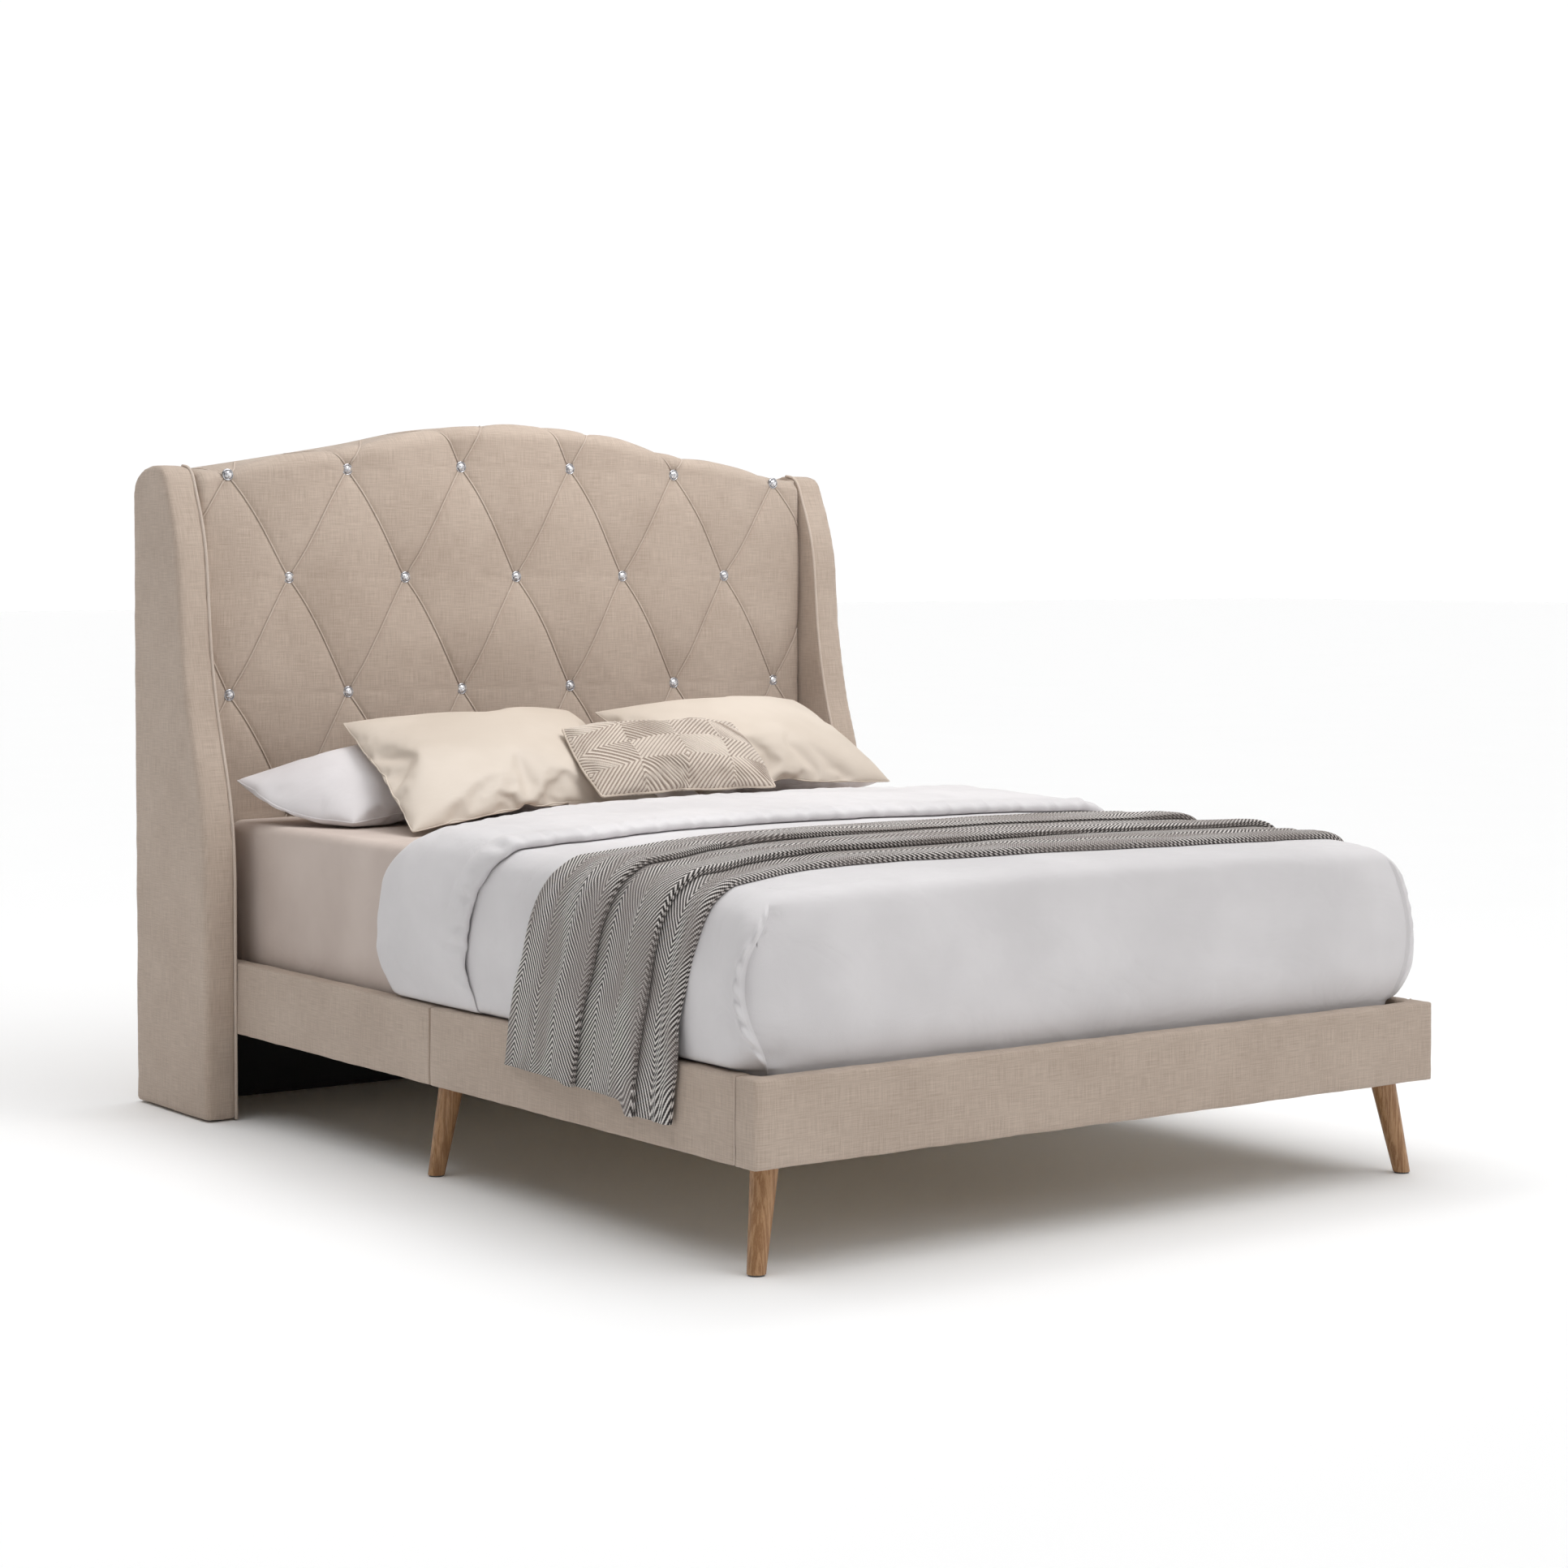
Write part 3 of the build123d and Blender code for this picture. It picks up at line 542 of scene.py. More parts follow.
def pad_depth(x, z):
    """How far the pad's surface lies behind its front plane: dimples at buttons, valleys along seams."""
    depth = np.zeros_like(x)
    valley = np.zeros_like(x)
    groove = np.zeros_like(x)
    for (x0, z0), (x1, z1) in SEAMS:
        run, fall = x1 - x0, z1 - z0
        length = math.hypot(run, fall)
        t = ((x - x0) * run + (z - z0) * fall) / length**2
        side = ((x - x0) * fall - (z - z0) * run) / length * -math.copysign(1, run)
        away = np.abs(side - seam_offset(t)) + 3 * length * (np.maximum(-t, 0) + np.maximum(t - 1, 0))
        ends = np.exp(-np.minimum(np.clip(t, 0, 1), 1 - np.clip(t, 0, 1)) * length / 0.05)
        fold = np.exp(-((away / (0.030 - 0.010 * ends)) ** 1.15))
        valley = np.maximum(valley, (0.0050 + 0.0090 * ends) * fold)
        groove = np.maximum(groove, np.exp(-((away / 0.0055) ** 2)))
    for x0, z0 in buttons:
        r = np.hypot(x - x0, z - z0)
        depth = np.maximum(depth, DIMPLE * np.exp(-((r / 0.052) ** 1.1)))
        pull = 0.0065 * np.exp(-np.abs(z - z0) / 0.014 - (np.abs(x - x0) / 0.078) ** 1.6)
        valley = np.maximum(valley, pull)
    puff = 0.0015 * ripple(x, z, 0.31, 5)
    return depth + valley * (1 - depth / DIMPLE) + 0.0030 * groove - 0.0045 + puff


def pad_point(x, up):
    """A point on the pad's front, from its place across and its length up the front and over the top."""
    top = crest(x)
    straight = top - ROLL
    turn = np.clip((up - straight) / ROLL, 0, math.pi / 2)
    over = np.maximum(up - straight - ROLL * math.pi / 2, 0)
    y = PAD_FRONT + ROLL * (1 - np.cos(turn)) + over
    z = np.minimum(up, straight) + ROLL * np.sin(turn)
    depth = pad_depth(x, up) * (1 - smooth(0.0, 0.05, over))
    end = np.maximum(np.abs(x) - (PAD_HALF - END_ROLL), 0) / END_ROLL
    rounding = END_ROLL * (1 - np.sqrt(np.maximum(1 - end**2, 0)))
    depth = depth + rounding * (np.cos(turn) > 0.2)
    return np.stack([x, y + depth * np.cos(turn), z - depth * np.sin(turn)], axis=-1)


def headboard_pad():
    """The tufted pad: front, rounded top, and the border that wraps over the headboard's frame."""
    step = 0.0042
    columns = int(2 * PAD_HALF / step) | 1
    inner = np.linspace(-(PAD_HALF - END_ROLL), PAD_HALF - END_ROLL, columns)
    ends = PAD_HALF - END_ROLL + END_ROLL * np.sin(np.linspace(0.12, math.pi / 2, 9))
    x = np.concatenate([-ends[::-1], inner, ends])
    roll_rows = np.linspace(0, ROLL * math.pi / 2, 14)[1:]
    top_rows = np.linspace(0, HEAD_BACK - PAD_FRONT - ROLL, 12)[1:]
    top = crest(x)
    straight = top - ROLL
    lengths = [PAD_LOW + (straight - PAD_LOW) * s for s in np.linspace(0, 1, int((1.43 - PAD_LOW) / step))]
    lengths += [straight + extra for extra in np.concatenate([roll_rows, ROLL * math.pi / 2 + top_rows])]
    rings = [pad_point(x, up) for up in lengths]
    hidden = (
        (HEAD_BACK, top - 0.006),
        (HEAD_BACK, top - 0.018),
        (PANEL_FRONT, top - 0.018),
        (PANEL_FRONT, np.full_like(x, PAD_LOW)),
    )
    for y, z in hidden:
        rings.append(np.stack([x, np.full_like(x, y), z], axis=-1))
        lengths.append(lengths[-1] + 0.03)
    points = np.array(rings)
    rows, count = points.shape[:2]
    faces = grid_faces(rows, count, wrap_rows=True)
    faces.append(tuple(i * count for i in range(rows)))
    faces.append(tuple(i * count + count - 1 for i in reversed(range(rows))))
    uv = np.stack([np.broadcast_to(x, (rows, count)), np.array(lengths)], axis=-1)
    made = new_object("headboard_tufted_pad", points, faces, linen_uv, uv)
    place(made, "bedstead", "upholstery", "headboard_pad")


def headboard_seams():
    """The narrow folded seams that run from button to button and over the top edge."""
    paths = []
    for (x0, z0), (x1, z1) in SEAMS:
        t = np.linspace(0, 1, 44)
        run, fall = x1 - x0, z1 - z0
        length = math.hypot(run, fall)
        sign = -math.copysign(1, run)
        x = x0 + run * t + seam_offset(t) * fall / length * sign
        up = z0 + fall * t - seam_offset(t) * run / length * sign
        nearest = np.min([np.hypot(x - a, up - b) for a, b in buttons], axis=0)
        limit = crest(x) - ROLL + ROLL * math.pi / 2 + 0.12
        keep = (np.abs(x) < PAD_HALF - 0.004) & (up < limit) & (up > PAD_LOW + 0.01) & (nearest > 0.008)
        if keep.sum() > 3:
            paths.append(pad_point(x[keep], up[keep]) - (0.0, 0.0022, 0.0))
    place(tubes("headboard_seams", paths, 0.0019, 6, seam_linen_painted_highlight), "bedstead", "upholstery")


headboard_pad()
headboard_seams()


RIM_PROFILE = (  # radius and distance out from the seat
    (0.0, 0.0), (0.0128, 0.0), (0.0134, 0.0016), (0.0132, 0.0042), (0.0122, 0.0058), (0.0110, 0.0060),
    (0.0102, 0.0050), (0.0099, 0.0030), (0.0, 0.0024),
)
STONE_RINGS = (  # radius, distance out from the seat and turn in facets
    (0.0097, 0.0030, 0), (0.0097, 0.0048, 0), (0.0080, 0.0078, 0.5), (0.0048, 0.0098, 0),
)
FACETS = 8


def circle(x, y, z, radius, count, turn=0):
    """Points round a circle that faces the foot of the bed."""
    angles = [2 * math.pi * (k + turn) / count for k in range(count)]
    return [(x + radius * math.cos(angle), y, z + radius * math.sin(angle)) for angle in angles]


def stone_faces(start):
    """The facets of one cut stone whose points are numbered from start."""
    faces = []
    for k in range(FACETS):
        after, before = (k + 1) % FACETS, (k - 1) % FACETS
        base, girdle, crown, table = (start + ring * FACETS for ring in range(4))
        faces.append((base + k, base + after, girdle + after, girdle + k))
        faces += [(girdle + k, girdle + after, crown + k), (girdle + after, crown + after, crown + k)]
        faces += [(crown + before, crown + k, table + k), (crown + k, table + after, table + k)]
    faces.append(tuple(start + 3 * FACETS + k for k in range(FACETS)))
    faces.append(tuple(start + k for k in reversed(range(FACETS))))
    return faces


def buttons_mesh():
    """Chrome rims with a rounded lip, and faceted stones set in them."""
    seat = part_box("button_rims")[1].y
    around = 40
    rim_points, rim_faces, stone_points, facets = [], [], [], []
    for x, z in buttons:
        start = len(rim_points)
        for radius, out in RIM_PROFILE:
            rim_points += circle(x, seat - out, z, radius, around)
        faces = grid_faces(len(RIM_PROFILE), around, wrap_columns=True)
        rim_faces += [tuple(start + i for i in face) for face in faces]
        facets += stone_faces(len(stone_points))
        for radius, out, turn in STONE_RINGS:
            stone_points += circle(x, seat - out, z, radius, FACETS, turn)
    rims = new_object("button_chrome_rims", rim_points, rim_faces, chrome)
    place(rims, "bedstead", "button_chrome", "button_rims")
    stones = new_object("button_cut_stones", stone_points, facets, stone)
    stones.data.polygons.foreach_set("use_smooth", [False] * len(stones.data.polygons))
    place(stones, "bedstead", "button_crystal", "button_stones")


buttons_mesh()

# ------------------------------------------------------------------ wings, rails and back


def soften(made, voxel, passes, seed, wave=0.0008):
    """Remeshes a sharp solid evenly, rounds its edges and lets the padding under it vary a little."""
    remesh = made.modifiers.new("even", "REMESH")
    remesh.mode = "VOXEL"
    remesh.voxel_size = voxel
    rounding = made.modifiers.new("round", "SMOOTH")
    rounding.factor = 0.5
    rounding.iterations = passes
    apply_modifiers(made)
    points = points_of(made)
    normals = np.array([v.normal for v in made.data.vertices])
    uneven = wave * (
        ripple(points[:, 1] + points[:, 0], points[:, 2], 0.23, seed)
        + 0.5 * ripple(points[:, 1] - points[:, 0], points[:, 2], 0.07, seed + 1)
    )
    move_points(made, points + normals * uneven[:, None])
    return made


def outer_outline(node, sign):
    """The side view of a wing, as the ordered (y, z) corners of its outer face."""
    work = bmesh.new()
    work.from_mesh(nodes[node].data)
    bmesh.ops.remove_doubles(work, verts=work.verts, dist=1e-5)
    reach = max(sign * v.co.x for v in work.verts)
    flat = [f for f in work.faces if all(sign * v.co.x > reach - 1e-4 for v in f.verts)]
    inside = set(flat)
    follow = {}
    for face in flat:
        for loop in face.loops:
            if not any(other in inside and other is not face for other in loop.edge.link_faces):
                follow[loop.vert.index] = (loop.link_loop_next.vert.index, loop.vert.co.copy())
    start = next(iter(follow))
    outline, at = [], start
    while True:
        following, co = follow[at]
        outline.append((co.y, co.z))
        at = following
        if at == start:
            break
    work.free()
    return np.array(outline)


def prism(name, outline, near, far, material, axis=0):
    """A closed solid: an outline in the other two coordinates, between two places along an axis."""
    count = len(outline)
    points = np.concatenate([np.insert(outline, axis, at, axis=1) for at in (near, far)])
    faces = [tuple(range(count)), tuple(reversed(range(count, 2 * count)))]
    faces += [(k, count + k, count + (k + 1) % count, (k + 1) % count) for k in range(count)]
    return new_object(name, points, faces, material)


def wings():
    """The wings with their rounded edges, and the welt sewn along each one's inner front edge."""
    for side, word in SIDES:
        outline = outer_outline(f"wing_cover_{word}", side)
        low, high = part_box(f"wing_cover_{word}")
        made = prism(f"wing_{word}", outline, low.x, high.x, linen)
        soften(made, 0.0075, 5, 11 + side)
        place(made, "bedstead", "upholstery", f"wing_cover_{word}")
        welt(side, word, outline)


def welt(side, word, outline):
    """A thin covered cord along the wing's front edge, from the floor to the crown."""
    start = int(np.argmin(np.linalg.norm(outline - outline.min(axis=0), axis=1)))
    loop = np.roll(outline, -start, axis=0)
    if loop[1, 1] < loop[0, 1] + 1e-4:
        loop = np.roll(loop[::-1], 1, axis=0)
    path = loop[: int(np.argmax(loop[:, 1])) + 1]
    length = run_length(path)
    steps = np.linspace(0, length[-1], 200)
    y, z = (np.interp(steps, length, path[:, k]) for k in (0, 1))
    inner = side * (RAIL_OUT + 0.0035)
    cord = np.stack([np.full_like(y, inner), y + 0.0005, z], axis=-1)
    made = tubes(f"wing_piping_{word}", [cord], 0.0036, 10, seam_linen_painted_highlight)
    place(made, "bedstead", "welt_cord", f"wing_welt_{word}")


def rails():
    """The padded rail covers: the foot rail with its returns, and each side rail in two halves."""
    for side, word in SIDES:
        for half in ("foot", "head"):
            node = f"side_rail_cover_{word}_{half}"
            low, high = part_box(node)
            outline = [(low.y, low.z), (high.y, low.z), (high.y, high.z), (low.y, high.z)]
            made = prism(f"rail_{word}_{half}", outline, low.x, high.x, linen)
            soften(made, 0.006, 3, 31 + side)
            place(made, "bedstead", "upholstery", node)
    thick = RAIL_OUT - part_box("leg_blocks")[1].x
    left, right, front, back = rail_low.x, rail_high.x, rail_low.y, rail_high.y
    outline = [
        (left, front), (right, front), (right, back), (right - thick, back),
        (right - thick, front + thick), (left + thick, front + thick), (left + thick, back), (left, back),
    ]
    made = prism("rail_foot", outline, rail_low.z, rail_high.z, linen, axis=2)
    soften(made, 0.006, 3, 41)
    place(made, "bedstead", "upholstery", "foot_rail_cover")


def corner_piping():
    """The narrow piped seams where the foot rail's cover meets each side rail's."""
    heights = np.linspace(rail_low.z + 0.004, rail_high.z - 0.001, 30)
    paths = [[(side * (RAIL_OUT + 0.0004), rail_high.y, z) for z in heights] for side, _ in SIDES]
    place(tubes("foot_rail_piping", paths, 0.0020, 8, seam_linen_painted_highlight), "bedstead", "upholstery")


wings()
rails()
corner_piping()

# ------------------------------------------------------------------ back and kick cloths


def flat_cloth(name, node, rows, columns, pucker, material, slot):
    """A cloth stretched over the frame: the CAD sheet's outline, with slack and puckers at its staples."""
    low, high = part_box(node)
    u, v = np.meshgrid(np.linspace(0, 1, columns), np.linspace(0, 1, rows))
    x = low.x + (high.x - low.x) * u
    top = np.minimum(crest(x), high.z) if high.z > 1.0 else np.full_like(x, high.z)
    z = low.z + (top - low.z) * v
    edge = np.minimum(np.minimum(u, 1 - u) * (high.x - low.x), np.minimum(v, 1 - v) * (high.z - low.z))
    near = np.exp(-edge / 0.03)
    slack = 0.0006 * ripple(x, z, 0.5, 3) * (1 - near)
    folds = pucker * near * np.sin(2 * math.pi * np.where(edge < 0.05, x + z, x - z) / 0.045)
    middle = (low.y + high.y) / 2 + slack + folds
    front, back = (np.stack([x, middle + half, z], axis=-1) for half in (-0.0006, 0.0006))
    made = thick_sheet(name, front, back, material, np.stack([x, z], axis=-1))
    place(made, "bedstead", slot, node)


flat_cloth("headboard_back_fabric", "headboard_back_cloth", 90, 100, 0.0005, back_fabric, "upholstery")
flat_cloth("headboard_black_cloth", "headboard_kick_cloth", 30, 110, 0.0004, black_cloth, "black_cloth")

# ------------------------------------------------------------------ mattress and fitted sheet


def rounded_plan(half_x, low_y, high_y, radius, step=0.018, around=14):
    """Points and outward directions round a rectangle with rounded corners, in plan."""
    places, outward = [], []
    corners = (
        (half_x - radius, low_y + radius, -math.pi / 2),
        (half_x - radius, high_y - radius, 0.0),
        (-half_x + radius, high_y - radius, math.pi / 2),
        (-half_x + radius, low_y + radius, math.pi),
    )
    for k, (x, y, start) in enumerate(corners):
        for angle in np.linspace(start, start + math.pi / 2, around):
            places.append((x + radius * math.cos(angle), y + radius * math.sin(angle)))
            outward.append((math.cos(angle), math.sin(angle)))
        next_x, next_y, next_start = corners[(k + 1) % 4]
        ahead = np.array([next_x + radius * math.cos(next_start), next_y + radius * math.sin(next_start)])
        last = np.array(places[-1])
        count = max(2, int(np.linalg.norm(ahead - last) / step))
        for t in np.linspace(0, 1, count + 1)[1:-1]:
            places.append(tuple(last + (ahead - last) * t))
            outward.append(outward[-1])
    return np.array(places), np.array(outward)


def wrapped_block(name, profile, radius, material, half_x, low_y, high_y, seed, wave):
    """A closed soft block: a profile of (inset, height) carried round a rounded plan and capped."""
    places, outward = rounded_plan(half_x, low_y, high_y, radius)
    along = run_length(places)
    middle = np.array([0, (low_y + high_y) / 2])
    rings = []
    for inset, z in profile:
        limit = min(inset, radius - 0.002)
        ring = middle + (places - outward * limit - middle) * (1 - (inset - limit) / half_x)
        ring = ring + outward * (wave * ripple(along, z, 0.4, seed))[:, None]
        rings.append(np.column_stack([ring, np.full(len(ring), z)]))
    rows, count = len(rings), len(places)
    faces = grid_faces(rows, count, wrap_columns=True)
    first, last, top = rows * count, rows * count + 1, (rows - 1) * count
    faces += [(first, (k + 1) % count, k) for k in range(count)]
    faces += [(last, top + k, top + (k + 1) % count) for k in range(count)]
    centres = [[*middle, profile[0][1]], [*middle, profile[-1][1]]]
    return new_object(name, np.concatenate([*rings, centres]), faces, material)


def edge_profile(low, high, roll, inside):
    """Inset and height pairs up a block's side: a rounded bottom edge, a side and a rounded top edge."""
    arc = np.linspace(0, math.pi / 2, 8)
    bottom = [(roll * (1 - math.sin(a)), low + roll * (1 - math.cos(a))) for a in arc]
    side = [(0.0, low + roll + (high - low - 2 * roll) * t) for t in np.linspace(0, 1, 14)[1:-1]]
    top = [(roll * (1 - math.cos(a)), high - roll * (1 - math.sin(a))) for a in arc]
    return [(inside, low), *bottom, *side, *top, (inside, high)]


def mattress():
    """The mattress: ticking over foam, with a taped edge round its top and bottom."""
    low, high = mattress_low, mattress_high
    profile = edge_profile(low.z, high.z, 0.022, 0.30)
    made = wrapped_block("mattress_body", profile, 0.06, ticking, high.x, low.y, high.y, 51, 0.0006)
    place(made, "mattress", "mattress_ticking", "mattress")
    inset = 0.0035
    places, _ = rounded_plan(high.x - inset, low.y + inset, high.y - inset, 0.06 - inset)
    places = np.concatenate([places, places[:2]])
    loops = [np.column_stack([places, np.full(len(places), z)]) for z in (low.z + 0.016, high.z - 0.016)]
    place(tubes("mattress_edge_tape", loops, 0.0032, 8, cushion_back), "mattress", "mattress_ticking")


def fitted_sheet():
    """The sheet stretched over the mattress, with an elastic hem gathered below it."""
    half_x, low_y, high_y = sheet_high.x - 0.0003, sheet_low.y + 0.0003, sheet_high.y - 0.0003
    places, outward = rounded_plan(half_x, low_y, high_y, 0.0615, step=0.014, around=16)
    along = run_length(places)
    roll = 0.024
    top = sheet_high.z - 0.0004
    arc = np.linspace(0, math.pi / 2, 9)
    steps = [(roll * (1 - math.cos(a)), top - roll * (1 - math.sin(a))) for a in arc]
    side = [(0.0, z) for z in np.linspace(sheet_low.z + 0.004, top - roll, 22)[:-1]]
    inner = [(inset, top) for inset in (0.045, 0.060)]
    centre = np.array([0, (low_y + high_y) / 2])
    layers = []
    for shift in (0.0, 0.0011):
        rings = []
        for inset, z in side + steps + inner:
            hem = math.exp(-(z - sheet_low.z) / 0.035)
            gather = 0.0011 * hem * np.sin(2 * math.pi * along / 0.021)
            crease = 0.0007 * ripple(along, 2.5 * z, 0.33, 61) * (1 - hem)
            ring = places + outward * (gather + crease - 0.0004 - inset - shift)[:, None]
            rings.append(np.column_stack([ring, np.full(len(ring), z - shift * (inset > 0.02))]))
        edge = rings[-1]
        for share in (0.9, 0.75, 0.5, 0.25, 0.05):
            ring = centre + (edge[:, :2] - centre) * share
            sag = 0.0003 * ripple(ring[:, 0], ring[:, 1], 0.6, 62)
            rings.append(np.column_stack([ring, edge[:, 2] + sag]))
        layers.append(np.array(rings))
    rows, count = layers[0].shape[:2]
    faces = grid_faces(rows, count, wrap_columns=True)
    size = rows * count
    faces += turned_over(faces, size)
    faces += [(size + k, size + (k + 1) % count, (k + 1) % count, k) for k in range(count)]
    faces.append(tuple((rows - 1) * count + k for k in range(count)))
    faces.append(tuple(size + (rows - 1) * count + k for k in reversed(range(count))))
    made = new_object("fitted_sheet_cloth", layers, faces, sheet_cotton)
    place(made, "mattress", "sheet_cotton", "fitted_sheet")


mattress()
fitted_sheet()

# ------------------------------------------------------------------ duvet

SHEET_HALF = sheet_high.x
SHEET_FOOT = sheet_low.y - FOOT
CORNER = 0.06  # plan radius of the duvet's foot corners, before its own thickness
FOLD_ANGLE = math.radians(51)  # where a corner's fold lies, from the side round to the foot
FOLD_REACH = 0.10  # metres along the cloth for each radian round the corner


def duvet_top(x, t):
    """Height of the duvet's upper side, at t from the foot of the bed."""
    crown = 0.014 * (1 - (np.abs(x) / 0.80) ** 2.2)
    lift = curve(((0.05, 0.634), (0.16, 0.641), (0.35, 0.646), (0.8, 0.650), (1.25, 0.656), (1.7, 0.656)), t)
    return lift + crown + 0.0022 * ripple(x, t, 0.55, 71)


def side_profile(top, bulge, to_front):
    """A drop over the edge: (outward, height) control points from the top down to the tuck."""
    side = (
        (-0.055, top), (-0.030, top - 0.0025), (-0.008, top - 0.012), (0.012, top - 0.030),
        (0.025, top - 0.058), (0.033 + 0.4 * bulge, top - 0.105), (0.036 + bulge, 0.460),
        (0.036 + 0.8 * bulge, 0.405), (0.035 + 0.2 * bulge, 0.362), (0.030, 0.346), (0.018, 0.3415),
        (0.0065, 0.3400), (0.0045, 0.332), (0.004, TUCK),
    )
    foot = (
        (-0.055, top), (-0.030, top - 0.0025), (-0.010, top - 0.011), (0.003, top - 0.026),
        (0.010, top - 0.048), (0.014 + 0.4 * bulge, top - 0.095), (0.017 + bulge, 0.460),
        (0.016 + 0.8 * bulge, 0.405), (0.013 + 0.2 * bulge, 0.372), (0.0095, 0.352), (0.0075, 0.3440),
        (0.0060, 0.3390), (0.0045, 0.332), (0.004, TUCK),
    )
    return np.array(side) * (1 - to_front) + np.array(foot) * to_front


PROFILE_AT = (0, 1, 2, 3, 4, 5.4, 7.2, 8.4, 9.3, 9.9, 10.3, 10.7, 11, 11.4)
PROFILE_STEPS = np.unique(
    np.concatenate([np.linspace(0, 5.4, 26), np.linspace(5.4, 9.3, 24), np.linspace(9.3, 11.4, 14)])
)


def read_profile(control, at=PROFILE_AT, steps=PROFILE_STEPS):
    """Points along a profile, more closely where it turns."""
    return np.stack([curve(list(zip(at, control[:, k])), steps) for k in (0, 1)], axis=-1)


def side_bulge(t, side):
    """How far the duvet's side swells out, at t from the foot."""
    left = ((0.05, 0.010), (0.2, 0.006), (0.7, 0.001), (1.0, 0.004), (1.3, 0.002))
    right = ((0.05, 0.024), (0.25, 0.018), (0.6, 0.006), (1.3, 0.004))
    return curve(left if side < 0 else right, t)


SIDE_COLUMNS = 84
FOOT_COLUMNS = 130
NEAR_FOLD = (  # closer columns beside a corner's fold, in radians from it
    -0.14, -0.12, -0.10, -0.085, -0.07, -0.055, -0.04, -0.025, -0.012, -0.003, 0.006, 0.02, 0.04, 0.07, 0.11,
)


def skirt_columns():
    """The columns of the duvet's drop, from the left side's head end round the foot to the right side's."""
    along = list(np.linspace(1.0, 0.0, SIDE_COLUMNS) ** 1.15)
    columns = [("side", -1, a) for a in along[:-1]]
    even = (np.linspace(0, FOLD_ANGLE, 22), np.linspace(FOLD_ANGLE, math.pi / 2, 18))
    turns = np.unique(np.concatenate([*even, FOLD_ANGLE + np.array(NEAR_FOLD)]))
    columns += [("corner", -1, a) for a in turns]
    columns += [("foot", 0, u) for u in np.linspace(-1, 1, FOOT_COLUMNS + 2)[1:-1]]
    columns += [("corner", 1, a) for a in turns[::-1]]
    columns += [("side", 1, a) for a in along[::-1][1:]]
    return columns


HEAD_END_LEFT = (
    (0.32, 1.240), (0.342, 1.250), (0.394, 1.286), (0.458, 1.296), (0.528, 1.282), (0.593, 1.258),
    (0.643, 1.210), (0.66, 1.166),
)
HEAD_END_RIGHT = ((0.32, 1.40), (0.36, 1.44), (0.45, 1.45), (0.55, 1.44), (0.62, 1.43), (0.66, 1.42))
HEAD_EDGE = (
    (-0.71, 1.165), (-0.60, 1.215), (-0.497, 1.275), (-0.27, 1.36), (0.0, 1.39), (0.27, 1.43),
    (0.71, 1.42),
)
CORNER_T = SHEET_FOOT + CORNER


def duvet_fold(angle, z, run, side):
    """Outward shift round a corner's fold, fainter on the right: a puckered roll beside a hollow."""
    beside = (angle - FOLD_ANGLE) * FOLD_REACH + run
    tall = smooth(0.335, 0.37, z) * (1 - smooth(0.595, 0.622, z)) * (1.0 if side < 0 else 0.3)
    if beside >= 0:
        return tall * -0.0145 * math.exp(-((beside / 0.055) ** 1.4))
    roll = math.exp(-(((beside + 0.0070) / 0.0062) ** 2))
    pucker = 0.62 + 0.38 * np.sin(2 * math.pi * (z / 0.040 + beside / 0.022) + 4.0 * np.sin(11 * z))
    return tall * (0.0135 * roll * pucker + 0.007 * math.exp(beside / 0.03))


def away_from_ends(top, z):
    """1 over most of the drop, fading to 0 at its top and at the tuck."""
    return smooth(0.0, 0.05, top - z) * smooth(0.33, 0.38, z)


def fold_sway(z):
    """How far round the corner the fold strays from its middle place, at each height."""
    places = (
        (0.33, 0.12), (0.36, 0.06), (0.385, -0.05), (0.433, -0.22), (0.488, -0.30), (0.539, -0.21),
        (0.580, 0.0), (0.615, 0.14), (0.66, 0.16),
    )
    return curve(places, z)


